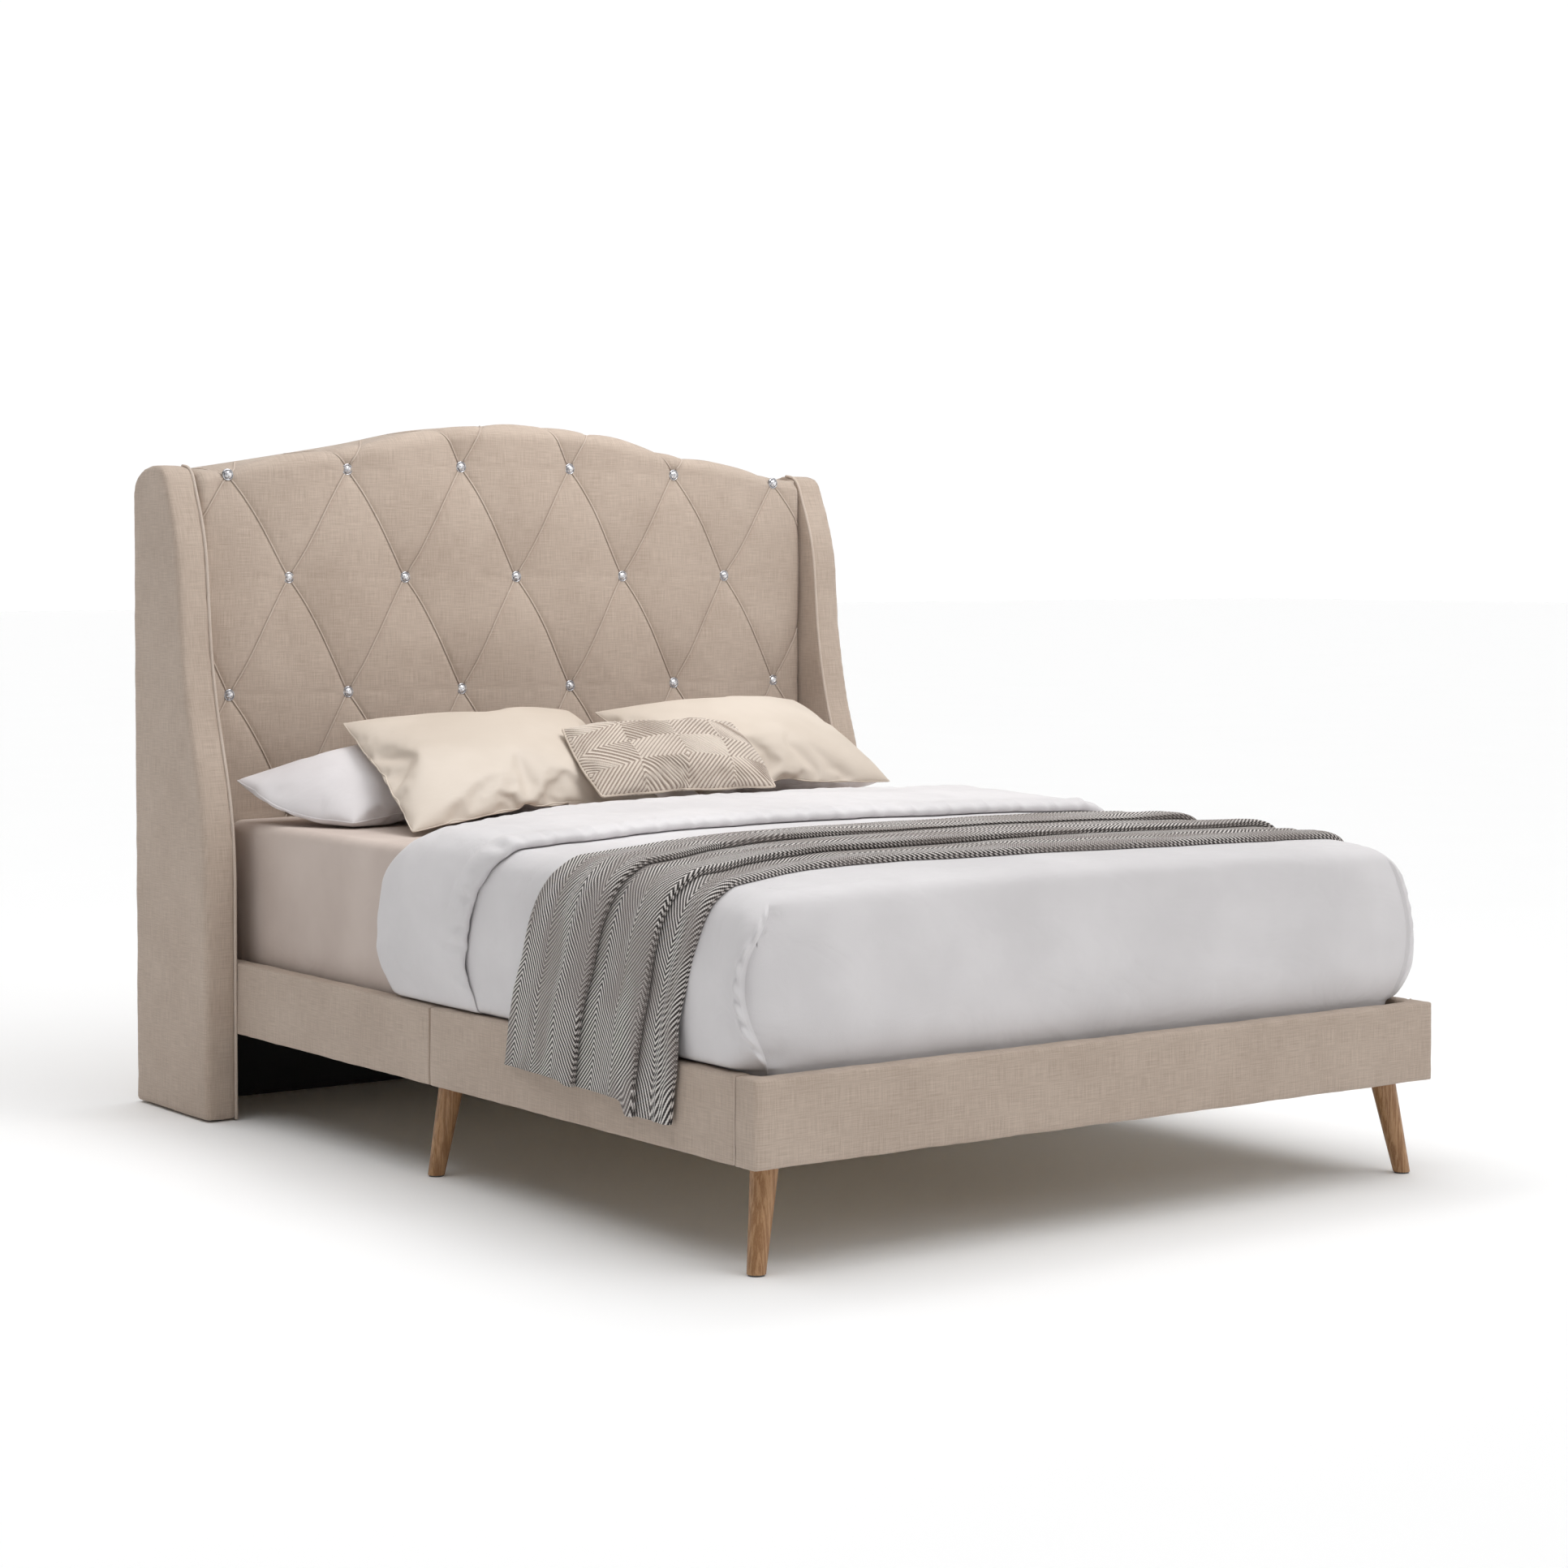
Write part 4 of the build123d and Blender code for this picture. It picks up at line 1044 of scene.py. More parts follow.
def duvet_surface():
    """The outside of the duvet's drop (columns by profile) with its UVs, and the top patch inside its rim."""
    skirt, uv = [], []
    run = 0.0
    last = None
    for kind, side, value in skirt_columns():
        if kind == "side":
            end = HEAD_END_LEFT if side < 0 else HEAD_END_RIGHT
            top_end = curve(end, 0.66)
            t_top = CORNER_T + (top_end - CORNER_T) * value
            top = float(duvet_top(side * 0.71, t_top))
            control = side_profile(top, float(side_bulge(t_top, side)), 0.0)
            out, z = read_profile(control).T
            t = CORNER_T + (curve(end, z) - CORNER_T) * value
            out = out + 0.0022 * ripple(t, 1.6 * z, 0.34, 73 + side) * away_from_ends(top, z)
            x = side * (SHEET_HALF + out)
        else:
            angle = value if kind == "corner" else math.pi / 2
            to_front = float(smooth(0.15, math.pi / 2 - 0.1, angle))
            corner_side = side if kind == "corner" else math.copysign(1, value)
            bulge = float(side_bulge(0.05, corner_side)) * (1 - to_front) + 0.004 * to_front
            x_here = (corner_side if kind == "corner" else value) * (SHEET_HALF - CORNER)
            top = float(duvet_top(x_here, 0.10))
            wide = read_profile(side_profile(top, bulge, 0.0))
            deep = read_profile(side_profile(top, 0.004, 1.0))
            z = wide[:, 1] * (1 - to_front) + deep[:, 1] * to_front
            if kind == "corner":
                a, b = CORNER + wide[:, 0], CORNER + deep[:, 0]
                square = 2.1 + 3.2 * smooth(0.0, 0.07, top - z) * smooth(0.325, 0.42, z)
                share = min(angle / FOLD_ANGLE, (math.pi / 2 - angle) / (math.pi / 2 - FOLD_ANGLE))
                sway = fold_sway(z) * (1.0 if side < 0 else 0.4)
                turned = angle + sway * math.sin(math.pi / 2 * share)
                reach = np.abs(np.cos(turned) / a) ** square + np.abs(np.sin(turned) / b) ** square
                reach = reach ** (-1 / square) + duvet_fold(angle, z, 0.0, side)
                x = side * (SHEET_HALF - CORNER + reach * np.cos(turned))
                t = CORNER_T - reach * np.sin(turned)
            else:
                beyond = (SHEET_HALF - CORNER) * (1 - abs(value)) + (math.pi / 2 - FOLD_ANGLE) * FOLD_REACH
                out = deep[:, 0] + duvet_fold(FOLD_ANGLE, z, beyond, value)
                out = out + 0.0020 * ripple(x_here, 1.4 * z, 0.42, 77) * away_from_ends(top, z)
                x = np.full_like(z, x_here)
                t = SHEET_FOOT - out
        column = np.stack([x, FOOT + t, z], axis=-1)
        if last is not None:
            run += float(np.linalg.norm(column[20] - last[20]))
        last = column
        drop = run_length(column)
        skirt.append(column)
        uv.append(np.stack([np.full_like(drop, run), -drop], axis=-1))
    return np.array(skirt), np.array(uv)


def coons(left, right, foot, head):
    """A patch inside four edge curves of points, left and right running from foot to head."""
    v = np.linspace(0, 1, len(left))[:, None, None]
    u = np.linspace(0, 1, len(foot))[None, :, None]
    across = left[:, None] * (1 - u) + right[:, None] * u
    along = foot[None] * (1 - v) + head[None] * v
    corners = foot[0] * (1 - u) * (1 - v) + foot[-1] * u * (1 - v) + head[0] * (1 - u) * v + head[-1] * u * v
    return across + along - corners


def duvet():
    """The duvet: one closed soft shell over the top and three sides of the mattress."""
    skirt, skirt_uv = duvet_surface()
    rim = skirt[:, 0]
    turns = (len(rim) - 2 * (SIDE_COLUMNS - 1) - FOOT_COLUMNS) // 2
    edge = SIDE_COLUMNS + turns // 2
    left, right, foot = rim[:edge][::-1], rim[-edge:], rim[edge - 1 : len(rim) - edge + 1]
    across = np.linspace(rim[0][0], rim[-1][0], len(foot))
    head_t = curve(HEAD_EDGE, across)
    head = np.stack([across, FOOT + head_t, duvet_top(across, head_t)], axis=-1)
    head[0], head[-1] = rim[0], rim[-1]
    top = coons(left, right, foot, head)
    rows, columns = top.shape[:2]
    row, column = np.indices((rows, columns))
    from_rim = np.minimum(np.minimum(row, 9), np.minimum(column, columns - 1 - column)) / 9
    from_rim[-1] = 0
    from_rim = np.minimum(from_rim, 1.0)
    wanted = duvet_top(top[..., 0], top[..., 1] - FOOT)
    top[..., 2] = top[..., 2] * (1 - from_rim) + wanted * from_rim
    depth = skirt.shape[1]
    shared = np.full((rows, columns), -1)
    shared[:, 0] = np.arange(edge)[::-1] * depth
    shared[:, -1] = np.arange(len(rim) - edge, len(rim)) * depth
    shared[0] = np.arange(edge - 1, len(rim) - edge + 1) * depth
    own = shared < 0
    shared[own] = len(rim) * depth + np.arange(own.sum())
    faces = grid_faces(len(rim), depth) + quads(shared)
    outer = np.concatenate([skirt.reshape(-1, 3), top[own]])
    uv = np.concatenate([skirt_uv.reshape(-1, 2), top[own][:, :2]])
    inner = outer.copy()
    margin = 0.0016
    inner[:, 0] = np.clip(outer[:, 0], -SHEET_HALF - margin, SHEET_HALF + margin)
    inner[:, 1] = np.maximum(outer[:, 1], FOOT + SHEET_FOOT - margin)
    over = outer[:, 2] > sheet_high.z - 0.05
    inner[over, 2] = np.minimum(outer[over, 2] - 0.004, sheet_high.z + margin)
    count = len(outer)
    edges = dict.fromkeys(pair for face in faces for pair in zip(face, face[1:] + face[:1]))
    joined = [(b, a, count + a, count + b) for a, b in edges if (b, a) not in edges]
    points = np.concatenate([outer, inner])
    uv = np.concatenate([uv, uv])
    made = new_object("duvet_cover", points, faces + turned_over(faces, count) + joined, duvet_cotton, uv)
    place(made, "duvet", "duvet_cotton", "duvet")


duvet()

# ------------------------------------------------------------------ what lies across the duvet

STRIP_T = np.linspace(0.08, 1.62, 112)  # distances from the foot where the bed's section is worked out
HANG_AT = (0, 1, 2, 3, 4, 5.4, 7.2, 8.4, 9.4, 10.4, 11.0, 11.8)


def strip_sections(hang):
    """The duvet's surface across the bed at each of STRIP_T: points, normals and lengths from the middle.

    With hang, the surface leaves the duvet below its swell and hangs straight down beside the rail.
    """
    rows = []
    for t in STRIP_T:
        halves = []
        for side in (-1, 1):
            bulge = float(side_bulge(t, side))
            control = side_profile(float(duvet_top(side * 0.71, t)), bulge, 0.0)
            if hang:
                free = ((0.045 + 0.7 * bulge, 0.405), (0.050, 0.36), (0.052, 0.31), (0.052, 0.29))
                control = np.concatenate([control[:7], free, [(0.052, hem_height(t))]])
                out, z = read_profile(control, HANG_AT, np.linspace(0, HANG_AT[-1], 76)).T
            else:
                out, z = read_profile(control, steps=PROFILE_STEPS[PROFILE_STEPS <= 10.75]).T
            halves.append(np.stack([side * (SHEET_HALF + out), z], axis=-1))
        x = np.linspace(-(SHEET_HALF - 0.055), SHEET_HALF - 0.055, 121)[1:-1]
        top = np.stack([x, duvet_top(x, t)], axis=-1)
        line = np.concatenate([halves[0][::-1], top, halves[1]])
        rows.append(np.insert(line, 1, FOOT + t, axis=1))
    points = np.array(rows)
    across = np.gradient(points, axis=1)
    along = np.gradient(points, axis=0)
    length = np.mean([run_length(row) - run_length(row)[len(row) // 2] for row in points], axis=0)
    return points, unit(np.cross(across, along)), length


def hem_height(t):
    """Height of the throw's hem over the floor: it steps down from fold to fold towards the foot."""
    return 0.232 + 0.026 * smooth(0.36, 0.375, t) + 0.008 * smooth(0.56, 0.572, t)


def strip_point(sections, column, t):
    """Points and normals on the strip's surface at the given columns (whole numbers) and distances t."""
    points, normals, _ = sections
    place_t = np.interp(t, STRIP_T, np.arange(len(STRIP_T)))
    low = np.clip(place_t.astype(int), 0, len(STRIP_T) - 2)
    share = (place_t - low)[..., None]
    at, normal = (
        grid[low, column] * (1 - share) + grid[low + 1, column] * share for grid in (points, normals)
    )
    return at, unit(normal)


def strip_shell(name, base, paths, material):
    """A closed cloth along a base surface.

    For each column's length from the middle and its points on the base, paths gives two lists of places along
    the bed and heights over the base: the cloth's outer side and its inner side.
    """
    outer, inner, uv = [], [], []
    for column, s in enumerate(base[2]):
        sides = paths(s, base[0][:, column])
        for layer, path in zip((outer, inner), sides):
            at, normal = strip_point(base, column, path[:, 0])
            layer.append(at + normal * path[:, 1][:, None])
        run = run_length(sides[0])
        uv.append(np.stack([np.full_like(run, s), run], axis=-1))
    outer, inner, uv = np.array(outer), np.array(inner), np.array(uv)
    for layer, clear in ((outer, 0.0030), (inner, 0.0018)):
        over_rail = (np.abs(layer[..., 0]) < RAIL_OUT + 0.002) & (layer[..., 2] < 0.40)
        layer[..., 2] = np.where(over_rail, np.maximum(layer[..., 2], RAIL_TOP + clear), layer[..., 2])
    return thick_sheet(name, outer, inner, material, uv), outer


CUFF_EDGE = (
    (-1.12, 0.915), (-1.045, 0.938), (-0.987, 0.960), (-0.923, 0.950), (-0.856, 0.938), (-0.82, 0.915),
    (-0.768, 0.884), (-0.715, 0.880), (-0.603, 0.896), (-0.508, 0.908), (-0.355, 0.932), (-0.154, 0.952),
    (0.05, 0.95), (0.25, 0.935), (0.5, 0.925), (0.76, 0.93), (0.9, 0.95), (1.12, 0.94),
)
CUFF_HEAD = (
    (-1.12, 1.235), (-1.062, 1.250), (-1.019, 1.286), (-0.957, 1.296), (-0.888, 1.282), (-0.827, 1.258),
    (-0.786, 1.210), (-0.755, 1.172), (-0.686, 1.178), (-0.497, 1.276), (-0.272, 1.361), (0.0, 1.392),
    (0.272, 1.432), (0.556, 1.430), (0.71, 1.422), (0.83, 1.43), (0.95, 1.45), (1.12, 1.44),
)


def cuff_path(s, base):
    """One section of the folded cuff: a rounded edge, a soft top and an edge rolled over at the head."""
    foot, head = float(curve(CUFF_EDGE, s)), float(curve(CUFF_HEAD, s))
    at = base[int(np.argmin(np.abs(STRIP_T - head)))]
    drop = math.hypot(max(abs(at[0]) - SHEET_HALF, 0), max(at[2] - sheet_high.z, 0)) - 0.0025
    low = float(smooth(0.335, 0.44, at[2]))
    tall = (0.012 + 0.008 * smooth(0.45, 0.63, at[2])) * low + 0.0025
    foot += 0.006 * float(ripple(s, 0.3, 0.19, 81))
    turns = 2 * math.pi * s
    pucker = 0.0036 * low * (math.sin(turns / 0.047) + 0.7 * math.sin(turns / 0.031 + 1.3))
    edge = np.array(
        ((0.003, 0.0008), (-0.004, 0.10), (-0.0085, 0.26), (-0.0095, 0.46), (-0.0065, 0.70), (0.000, 0.90),
         (0.010, 1.05), (0.022, 1.13), (0.036, 1.14), (0.052, 1.08))
    )
    edge_t = foot + edge[:, 0] * (0.5 + 0.5 * low)
    edge_h = edge[:, 1] * tall + pucker * np.exp(-np.abs(edge[:, 0] - 0.012) / 0.022) * (edge[:, 1] > 0.2)
    share = np.linspace(0, 1, 46)[1:]
    middle_t = edge_t[-1] + (head - 0.020 - edge_t[-1]) * share
    swell = 1.08 + 0.10 * np.sin(math.pi * share) - 0.08 * share
    wave = 0.0026 * ripple(0.8 * s, middle_t, 0.30, 83) + 0.0012 * ripple(1.6 * s, 0.5 * middle_t, 0.11, 85)
    middle_h = tall * swell + wave * low
    turn = np.linspace(0, math.pi, 15)[1:]
    middle_of_roll = (middle_h[-1] - drop) / 2
    round_t = head - 0.020 + 0.026 * np.sin(turn) + 0.012 * (1 - np.cos(turn))
    round_h = middle_of_roll + (middle_h[-1] - middle_of_roll) * np.cos(turn)
    t = np.concatenate([edge_t, middle_t, round_t])
    height = np.concatenate([edge_h, middle_h, round_h])
    under = np.column_stack([np.clip(t, foot + 0.003, head + 0.0015), np.full_like(t, 0.0006)])
    under[-len(turn):, 1] = np.linspace(0.0006, -drop, len(turn))
    return np.column_stack([t, height]), under


def cuff():
    """The duvet's head end, folded back over itself across the bed and down both sides."""
    made, _ = strip_shell("duvet_cuff", strip_sections(hang=False), cuff_path, duvet_cotton)
    place(made, "duvet", "duvet_cotton")


THROW_EDGES = (  # places along the bed of the three panels' edges, for lengths from the middle
    (
        (-1.18, 0.245), (-1.104, 0.224), (-0.992, 0.218), (-0.891, 0.196), (-0.815, 0.175),
        (-0.76, 0.168), (-0.662, 0.196), (-0.544, 0.243), (-0.426, 0.254), (-0.331, 0.246),
        (-0.177, 0.220), (0.1, 0.205), (0.4, 0.20), (0.76, 0.205), (0.9, 0.215), (1.18, 0.225),
    ),
    (
        (-1.18, 0.345), (-1.072, 0.330), (-1.0, 0.316), (-0.932, 0.310), (-0.845, 0.290), (-0.80, 0.277),
        (-0.755, 0.271), (-0.709, 0.279), (-0.579, 0.340), (-0.473, 0.367), (-0.378, 0.380),
        (-0.213, 0.376), (-0.035, 0.382), (0.3, 0.40), (0.76, 0.40), (1.18, 0.40),
    ),
    (
        (-1.18, 0.548), (-1.137, 0.535), (-1.049, 0.521), (-0.955, 0.503), (-0.869, 0.476),
        (-0.804, 0.449), (-0.765, 0.440), (-0.686, 0.455), (-0.52, 0.545), (-0.366, 0.608),
        (-0.213, 0.630), (0.0, 0.64), (0.4, 0.64), (0.76, 0.63), (1.18, 0.62),
    ),
    (
        (-1.18, 0.795), (-1.149, 0.786), (-1.056, 0.770), (-0.963, 0.754), (-0.857, 0.719),
        (-0.804, 0.692), (-0.765, 0.674), (-0.725, 0.674), (-0.615, 0.712), (-0.485, 0.752),
        (-0.331, 0.788), (-0.177, 0.792), (0.0, 0.80), (0.13, 0.812), (0.331, 0.826), (0.76, 0.82),
        (1.18, 0.80),
    ),
)


THROW_THICK = 0.0044
THROW_LOW = 0.0070  # height of the throw's outer side where it lies flat
FIRST_ROLL = ((0.004, 0.0048), (0.0005, 0.0052), (-0.0015, 0.0070), (-0.001, 0.0100), (0.003, 0.0130))
NEXT_ROLL = (
    (-0.020, 0.0075), (-0.008, 0.0070), (0.002, 0.0068), (0.008, 0.0074), (0.0095, 0.0088),
    (0.006, 0.0105), (0.001, 0.0125), (-0.0025, 0.0150), (-0.003, 0.0178), (0.000, 0.0200),
)
LAST_EDGE = ((-0.004, 0.0082), (-0.001, 0.0074), (0.0, 0.0064), (-0.001, 0.0054))


def throw_path(s, _base):
    """One section of the throw: three panels, each rolled at its foot side over the one before it."""
    edges = [float(curve(points, s)) for points in THROW_EDGES]
    flat_end = 1 - float(smooth(0.55, 0.75, s))
    strength = (
        1.0,
        1.0 - 0.35 * float(smooth(-0.1, 0.3, s)) * flat_end,
        1.0 - 0.55 * float(smooth(-0.3, 0.0, s)) * flat_end,
    )
    share = np.linspace(0, 1, 26)[1:]
    t, height = [], []
    for k, rise in enumerate(strength):
        for dt, h in NEXT_ROLL if k else FIRST_ROLL:
            t.append(edges[k] + dt)
            height.append(THROW_LOW + (h - THROW_LOW) * rise)
        peak = THROW_LOW + ((0.0212 if k else 0.0145) - THROW_LOW) * rise
        begin = edges[k] + 0.006
        end = edges[k + 1] - (0.032 if k < 2 else 0.010)
        fall = 1 - smooth(0.05, 1.0, share)
        body = 0.0078 + (peak - 0.0078) * fall
        fold = 0.0022 * np.sin(2 * math.pi * (2.1 * share + 0.35 * k + 0.25 * math.sin(5 * s + k)))
        fold = (fold + 0.0012 * np.sin(2 * math.pi * 5.3 * share + 7 * s + 2 * k)) * np.sin(math.pi * share)
        fade = 0.6 + 0.4 * math.sin(3.1 * s + 1.7 * k)
        t.extend(begin + (end - begin) * share)
        height.extend(np.maximum(body + fold * fade, 0.0068))
    for dt, h in LAST_EDGE:
        t.append(edges[3] + dt)
        height.append(h)
    outer = np.column_stack([t, height]) + (0.0016 * float(ripple(s, 0.7, 0.08, 91)), 0)
    return outer, outer - (0, THROW_THICK)


def throw():
    """The knitted throw across the bed, gathered into three panels and hanging beside both rails."""
    made, outer = strip_shell("throw_cloth", strip_sections(hang=True), throw_path, throw_knit)
    place(made, "throw", "throw_knit", "throw")


cuff()
throw()

# ------------------------------------------------------------------ pillows and cushion


def flat_pillow(name, width, depth, puff, step, material):
    """A closed pillow cover, two panels sewn together round their edge, and its seam's points in order."""
    columns, rows = int(width / step) | 1, int(depth / step) | 1
    u, v = np.meshgrid(np.linspace(-1, 1, columns), np.linspace(-1, 1, rows))
    rise = puff * np.sqrt(np.clip((1 - np.abs(u) ** 2.6) * (1 - np.abs(v) ** 2.6), 0, 1))
    fuller = 0.045
    x = u * width / 2 * (1 + fuller * np.cos(math.pi / 2 * v) * np.abs(u))
    y = v * depth / 2 * (1 + 1.3 * fuller * np.cos(math.pi / 2 * u) * np.abs(v))
    front = np.stack([x, y, rise], axis=-1).reshape(-1, 3)
    index = np.arange(rows * columns).reshape(rows, columns)
    back = index.copy()
    inside = np.zeros((rows, columns), bool)
    inside[1:-1, 1:-1] = True
    back[inside] = len(front) + np.arange(inside.sum())
    points = np.concatenate([front, front[inside.ravel()] * (1, 1, -1)])
    faces = []
    for face, (a, b, c, d) in zip(quads(index), quads(back)):
        faces += [face, (a, d, c, b)]
    uv_front = np.stack([u * width / 2, v * depth / 2], axis=-1).reshape(-1, 2)
    uv = np.concatenate([uv_front, uv_front[inside.ravel()]])
    return new_object(name, points, faces, material, uv), grid_rim(index)


CLOTH = {
    "quality": 6, "mass": 0.25, "tension_stiffness": 22, "compression_stiffness": 22, "shear_stiffness": 6,
    "bending_stiffness": 0.35, "air_damping": 3.0, "use_pressure": True,
}
CLOTH_FRAMES = 24


def inflate(made, pressure, seed):
    """Fills a flat cover with a cloth simulation: its panels swell and pucker along their seam."""
    points = points_of(made)
    move_points(made, points + 0.0012 * ripple(points[:, 0], points[:, 1], 0.13, seed)[:, None] * (0, 0, 1))
    cloth = made.modifiers.new("fill", "CLOTH")
    for key, value in CLOTH.items():
        setattr(cloth.settings, key, value)
    cloth.settings.uniform_pressure_force = pressure
    cloth.settings.effector_weights.gravity = 0.0
    cloth.collision_settings.use_collision = False
    cloth.point_cache.frame_start, cloth.point_cache.frame_end = 1, CLOTH_FRAMES
    for step in range(1, CLOTH_FRAMES + 1):
        bpy.context.scene.frame_set(step)
    apply_modifiers(made)
    bpy.context.scene.frame_set(1)


def under_surface(made, below):
    """For each point of a piece, the height of the highest surface below or around it, straight down."""
    points = points_of(made)
    trees = []
    for other in below:
        corners = [v.co for v in other.data.vertices]
        trees.append(BVHTree.FromPolygons(corners, [tuple(p.vertices) for p in other.data.polygons]))
    heights = np.full(len(points), -1.0)
    for k, (x, y, _) in enumerate(points):
        for tree in trees:
            hit = tree.ray_cast(Vector((x, y, 3.0)), Vector((0, 0, -1)))[0]
            if hit is not None:
                heights[k] = max(heights[k], hit.z)
    return heights


def settle(made, below, gap=0.0025, least=0.010):
    """Dents a soft piece where it rests on others, keeping the dent smooth."""
    points = points_of(made)
    floor = under_surface(made, below)
    normals = np.array([v.normal for v in made.data.vertices])
    clear = gap + least * smooth(-0.1, 0.5, normals[:, 2])
    needed = np.maximum(floor + clear - points[:, 2], 0.0)
    edges = np.zeros(len(made.data.edges) * 2, np.int64)
    made.data.edges.foreach_get("vertices", edges)
    a, b = edges.reshape(-1, 2).T
    count = np.bincount(a, minlength=len(points)) + np.bincount(b, minlength=len(points))
    lift = needed.copy()
    for _ in range(220):
        total = np.bincount(a, lift[b], len(points)) + np.bincount(b, lift[a], len(points))
        lift = np.maximum(0.5 * lift + 0.5 * total / count, needed)
    points[:, 2] += lift
    move_points(made, points)


PILLOWS = {  # width, depth, height, crown, mesh step, rounds of subdivision, slot
    "white": (0.686, 0.422, 0.168, 0.026, 0.0115, 1, "white_cotton"),
    "cream": (0.640, 0.470, 0.120, 0.008, 0.0110, 1, "cream_cotton"),
    "knit": (0.455, 0.270, 0.095, 0.006, 0.0080, 2, "cushion_knit"),
}
CORNERS = {  # front left, front right, back right and back left: across, from the foot, up
    "white_pillow_left": (
        (-0.662, 1.680, 0.645), (-0.11, 1.665, 0.655), (-0.118, 2.066, 0.728), (-0.803, 1.968, 0.722),
    ),
    "white_pillow_right": (
        (0.12, 1.665, 0.655), (0.776, 1.700, 0.680), (0.799, 2.060, 0.722), (0.12, 2.070, 0.728),
    ),
    "cream_pillow_left": (
        (-0.645, 1.445, 0.643), (-0.045, 1.440, 0.686), (0.024, 1.905, 0.852), (-0.560, 1.900, 0.843),
    ),
    "cream_pillow_right": (
        (0.070, 1.450, 0.686), (0.655, 1.530, 0.686), (0.655, 1.900, 0.860), (0.085, 1.900, 0.850),
    ),
    "knit_cushion": (
        (-0.226, 1.395, 0.699), (0.243, 1.398, 0.701), (0.266, 1.600, 0.832), (-0.198, 1.600, 0.832),
    ),
}


def lay(points, node, width, depth, crown):
    """Carries a pillow from its own flat frame to the four corners where it lies, crowned in its middle."""
    front_left, front_right, back_right, back_left = (np.array((x, FOOT + t, z)) for x, t, z in CORNERS[node])
    u, v = (points[:, 0] / width + 0.5)[:, None], (points[:, 1] / depth + 0.5)[:, None]
    front, back = front_left * (1 - u) + front_right * u, back_left * (1 - u) + back_right * u
    across = (front_right - front_left) * (1 - v) + (back_right - back_left) * v
    up = unit(np.cross(across, back - front))
    dome = crown * np.clip((1 - (2 * u - 1) ** 2) * (1 - (2 * v - 1) ** 2), 0, 1)
    below = {"white": 0.92, "cream": 0.40, "knit": 0.60}[node.split("_")[0]]
    thick = points[:, 2] * np.where(points[:, 2] > 0, 1.5 - below / 2, below)
    droop = (0.020 if node.startswith("white") else 0.0) * np.abs(2 * u - 1) ** 5 * (1 - (2 * v - 1) ** 2)
    return front * (1 - v) + back * v + up * (thick[:, None] + dome - droop)


def pillow(name, node, material, pressure, below, seed, welt_radius=0.0016):
    """A pillow or cushion: filled, laid between its corners and dented by what it lies on."""
    width, depth, height, crown, step, rounds, slot = PILLOWS[node.split("_")[0]]
    made, seam = flat_pillow(name, 1.05 * width, 1.05 * depth, 0.36 * height, step, material)
    inflate(made, pressure, seed)
    even = made.modifiers.new("even", "SUBSURF")
    even.levels = even.render_levels = rounds
    apply_modifiers(made)
    points = points_of(made)
    low, high = points.min(axis=0), points.max(axis=0)
    points = (points - (low + high) / 2) * ((width, depth, height) / (high - low))
    if node == "knit_cushion":
        normals = np.array([v.normal for v in made.data.vertices])
        x, y = points[:, 0], points[:, 1]
        rim = smooth(0.004, 0.018, np.minimum(width / 2 - np.abs(x), depth / 2 - np.abs(y)))
        points = points + normals * (0.0011 * rim * cord_height(x, y))[:, None]
    move_points(made, lay(points, node, width, depth, crown))
    settle(made, below)
    path = points_of(made)[np.concatenate([seam, seam[:2]])]
    edge = tubes(name + "_seam", [path], welt_radius, 6, cushion_back if node == "knit_cushion" else material)
    place(made, node, slot, node)
    place(edge, node, slot)
    return made


lower = [bpy.data.objects[n] for n in ("fitted_sheet_cloth", "duvet_cover", "duvet_cuff")]
for kind, cotton, pressure, seed in (("white", white_cotton, 3.2, 101), ("cream", cream_cotton, 3.0, 111)):
    below = list(lower)
    for side, word in SIDES:
        name = f"pillow_{kind}_{word}"
        lower.append(pillow(name, f"{kind}_pillow_{word}", cotton, pressure, below, seed + side))
pillow("cushion_chenille", "knit_cushion", chenille, 3.0, lower, 121, welt_radius=0.0028)

# ------------------------------------------------------------------ stage, light, camera


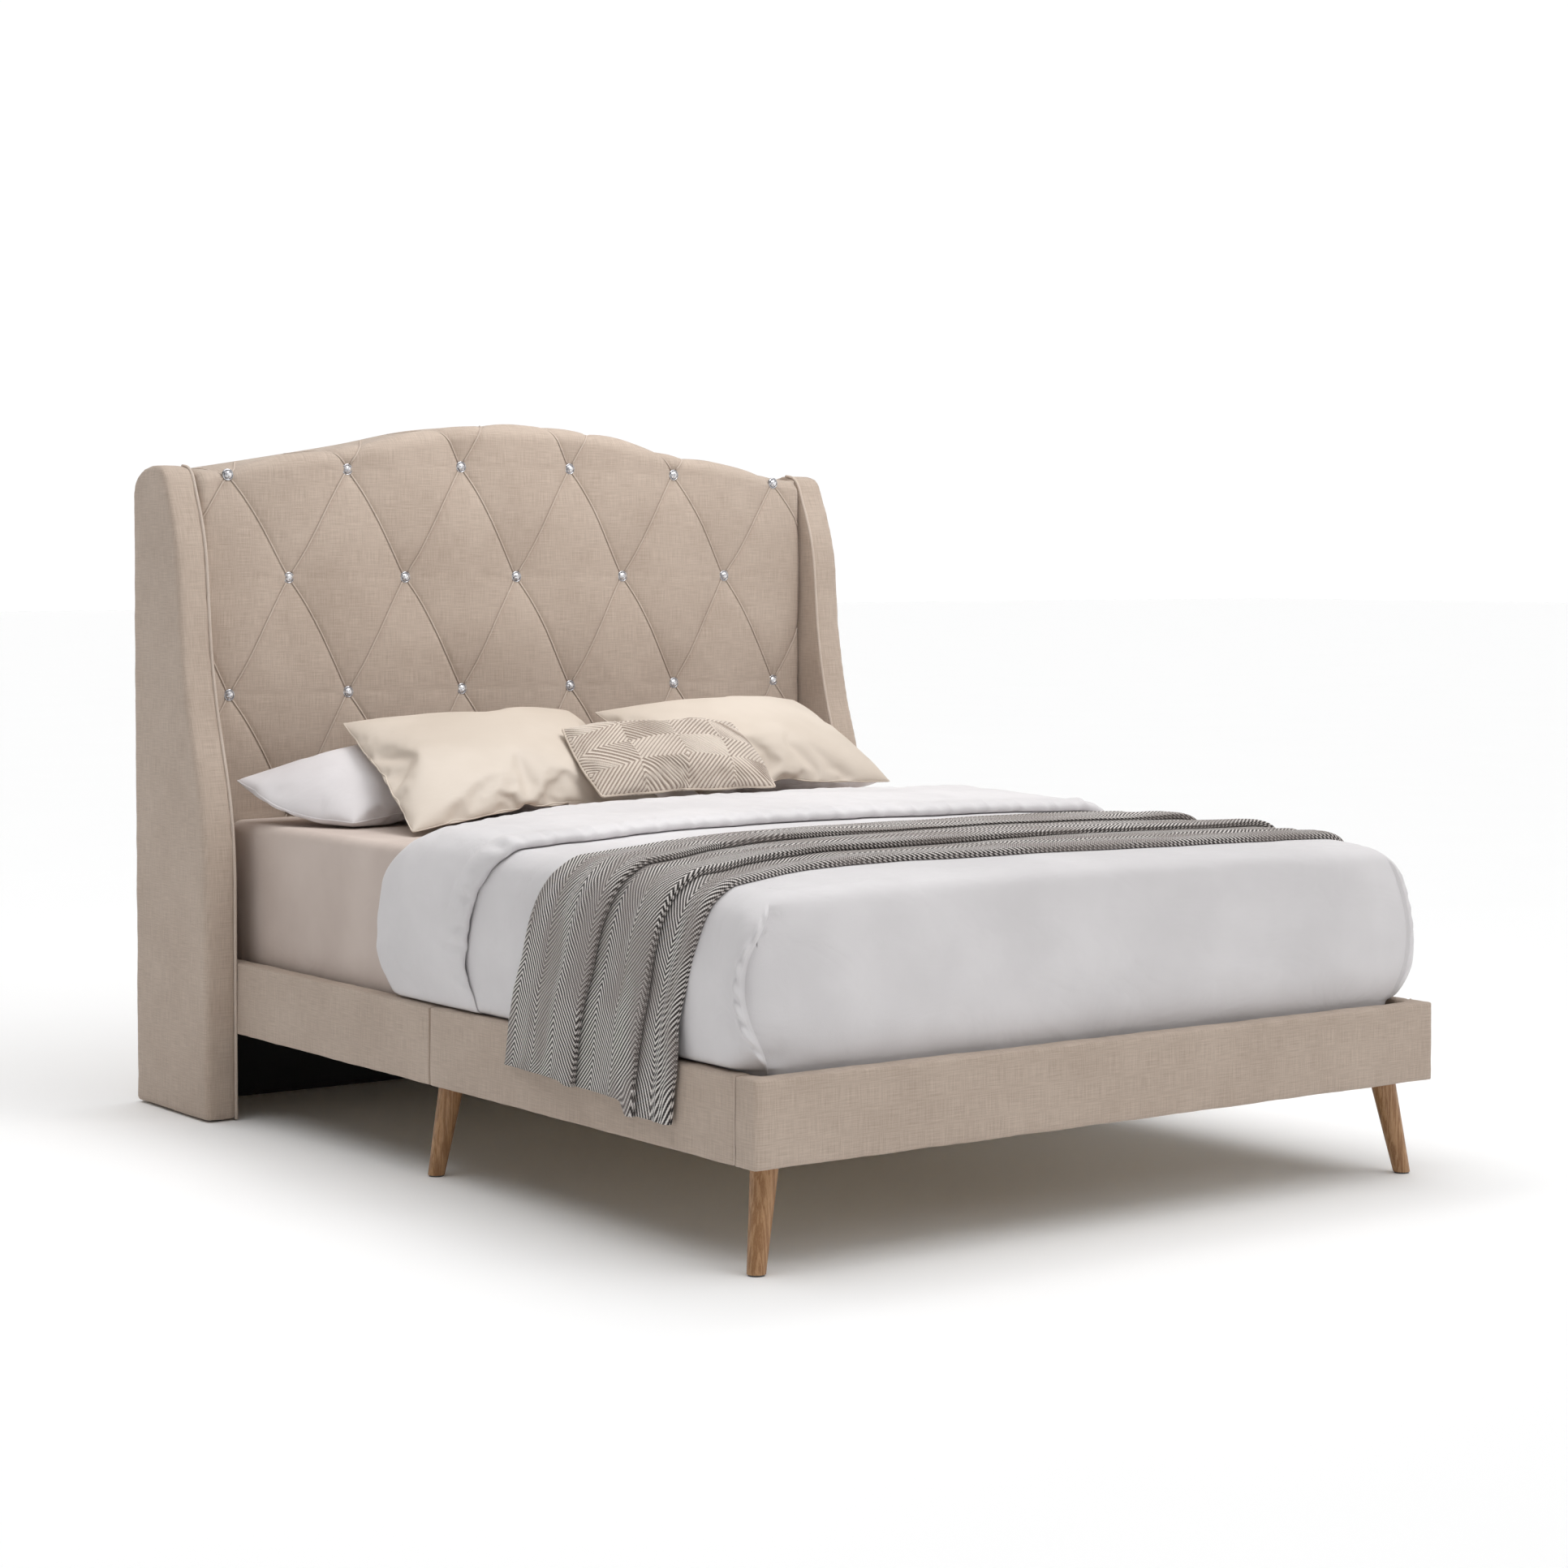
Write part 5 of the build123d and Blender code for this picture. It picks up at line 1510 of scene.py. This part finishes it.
def stage():
    """A pale floor, soft light from the upper right, and the camera."""
    size = 60.0
    corners = [(-size, -size, 0), (size, -size, 0), (size, size, 0), (-size, size, 0)]
    g = Graph("studio_floor", 0.75)
    g.set("Base Color", g.mix(g.noise(g.position(), 1.5, 2.0), linear(250, 250, 250), linear(252, 252, 252)))
    floor = new_object("studio_floor", corners, [(0, 1, 2, 3)], g.material)

    world = bpy.data.worlds.new("studio")
    bpy.context.scene.world = world
    world.use_nodes = True
    tree = world.node_tree
    direction = tree.nodes.new("ShaderNodeTexCoord").outputs["Generated"]

    def step(value, low, high, start, end):
        made = tree.nodes.new("ShaderNodeMapRange")
        made.interpolation_type = "SMOOTHSTEP"
        for k, number in ((1, low), (2, high), (3, start), (4, end)):
            made.inputs[k].default_value = number
        tree.links.new(value, made.inputs[0])
        return made.outputs[0]

    def combine(operation, first, second):
        made = tree.nodes.new("ShaderNodeMath")
        made.operation = operation
        tree.links.new(first, made.inputs[0])
        tree.links.new(second, made.inputs[1])
        return made.outputs[0]

    split = tree.nodes.new("ShaderNodeSeparateXYZ")
    tree.links.new(direction, split.inputs[0])
    toward = tree.nodes.new("ShaderNodeVectorMath")
    toward.operation = "DOT_PRODUCT"
    toward.inputs[1].default_value = (0.94, 0.34, 0.0)
    tree.links.new(direction, toward.inputs[0])
    around = step(toward.outputs["Value"], -0.6, 0.35, 0.38, 1.0)
    walls = combine("MULTIPLY", step(split.outputs[2], 0.2, 0.36, 1.02, 0.30), around)
    strength = combine("ADD", walls, step(split.outputs[2], 0.66, 0.86, 0.0, 1.62))
    background = tree.nodes["Background"]
    tree.links.new(strength, background.inputs["Strength"])
    background.inputs["Color"].default_value = (1.0, 1.0, 1.0, 1.0)

    def lamp(name, kind, where, target, power):
        light = bpy.data.lights.new(name, kind)
        light.energy = power
        made = bpy.data.objects.new(name, light)
        made.location = where
        made.rotation_euler = (Vector(target) - Vector(where)).to_track_quat("-Z", "Y").to_euler()
        bpy.context.scene.collection.objects.link(made)
        return light

    lamp("key_light", "SUN", (2.2, -4.2, 4.6), (0, 0, 0.5), 0.4).angle = math.radians(40.0)
    lamp("back_light", "SUN", (-0.5, 4.5, 3.5), (0, 0, 0.5), 0.1).angle = math.radians(60.0)
    panel = lamp("headboard_light", "AREA", (0.25, -0.15, 2.5), (0.0, PAD_FRONT, 1.05), 13.5)
    panel.shape = "RECTANGLE"
    panel.size, panel.size_y = 0.9, 0.7

    data = bpy.data.cameras.new("camera")
    data.lens = 74.36
    data.sensor_width = 36.0
    data.shift_y = -0.0751
    camera = bpy.data.objects.new("camera", data)
    camera.location = (-3.8985, FOOT - 4.3543, 1.2089)
    camera.rotation_euler = (math.radians(90 - 1.97), 0, math.radians(-35.85))
    bpy.context.scene.collection.objects.link(camera)
    bpy.context.scene.camera = camera
    bpy.context.scene.view_settings.view_transform = "Standard"


stage()
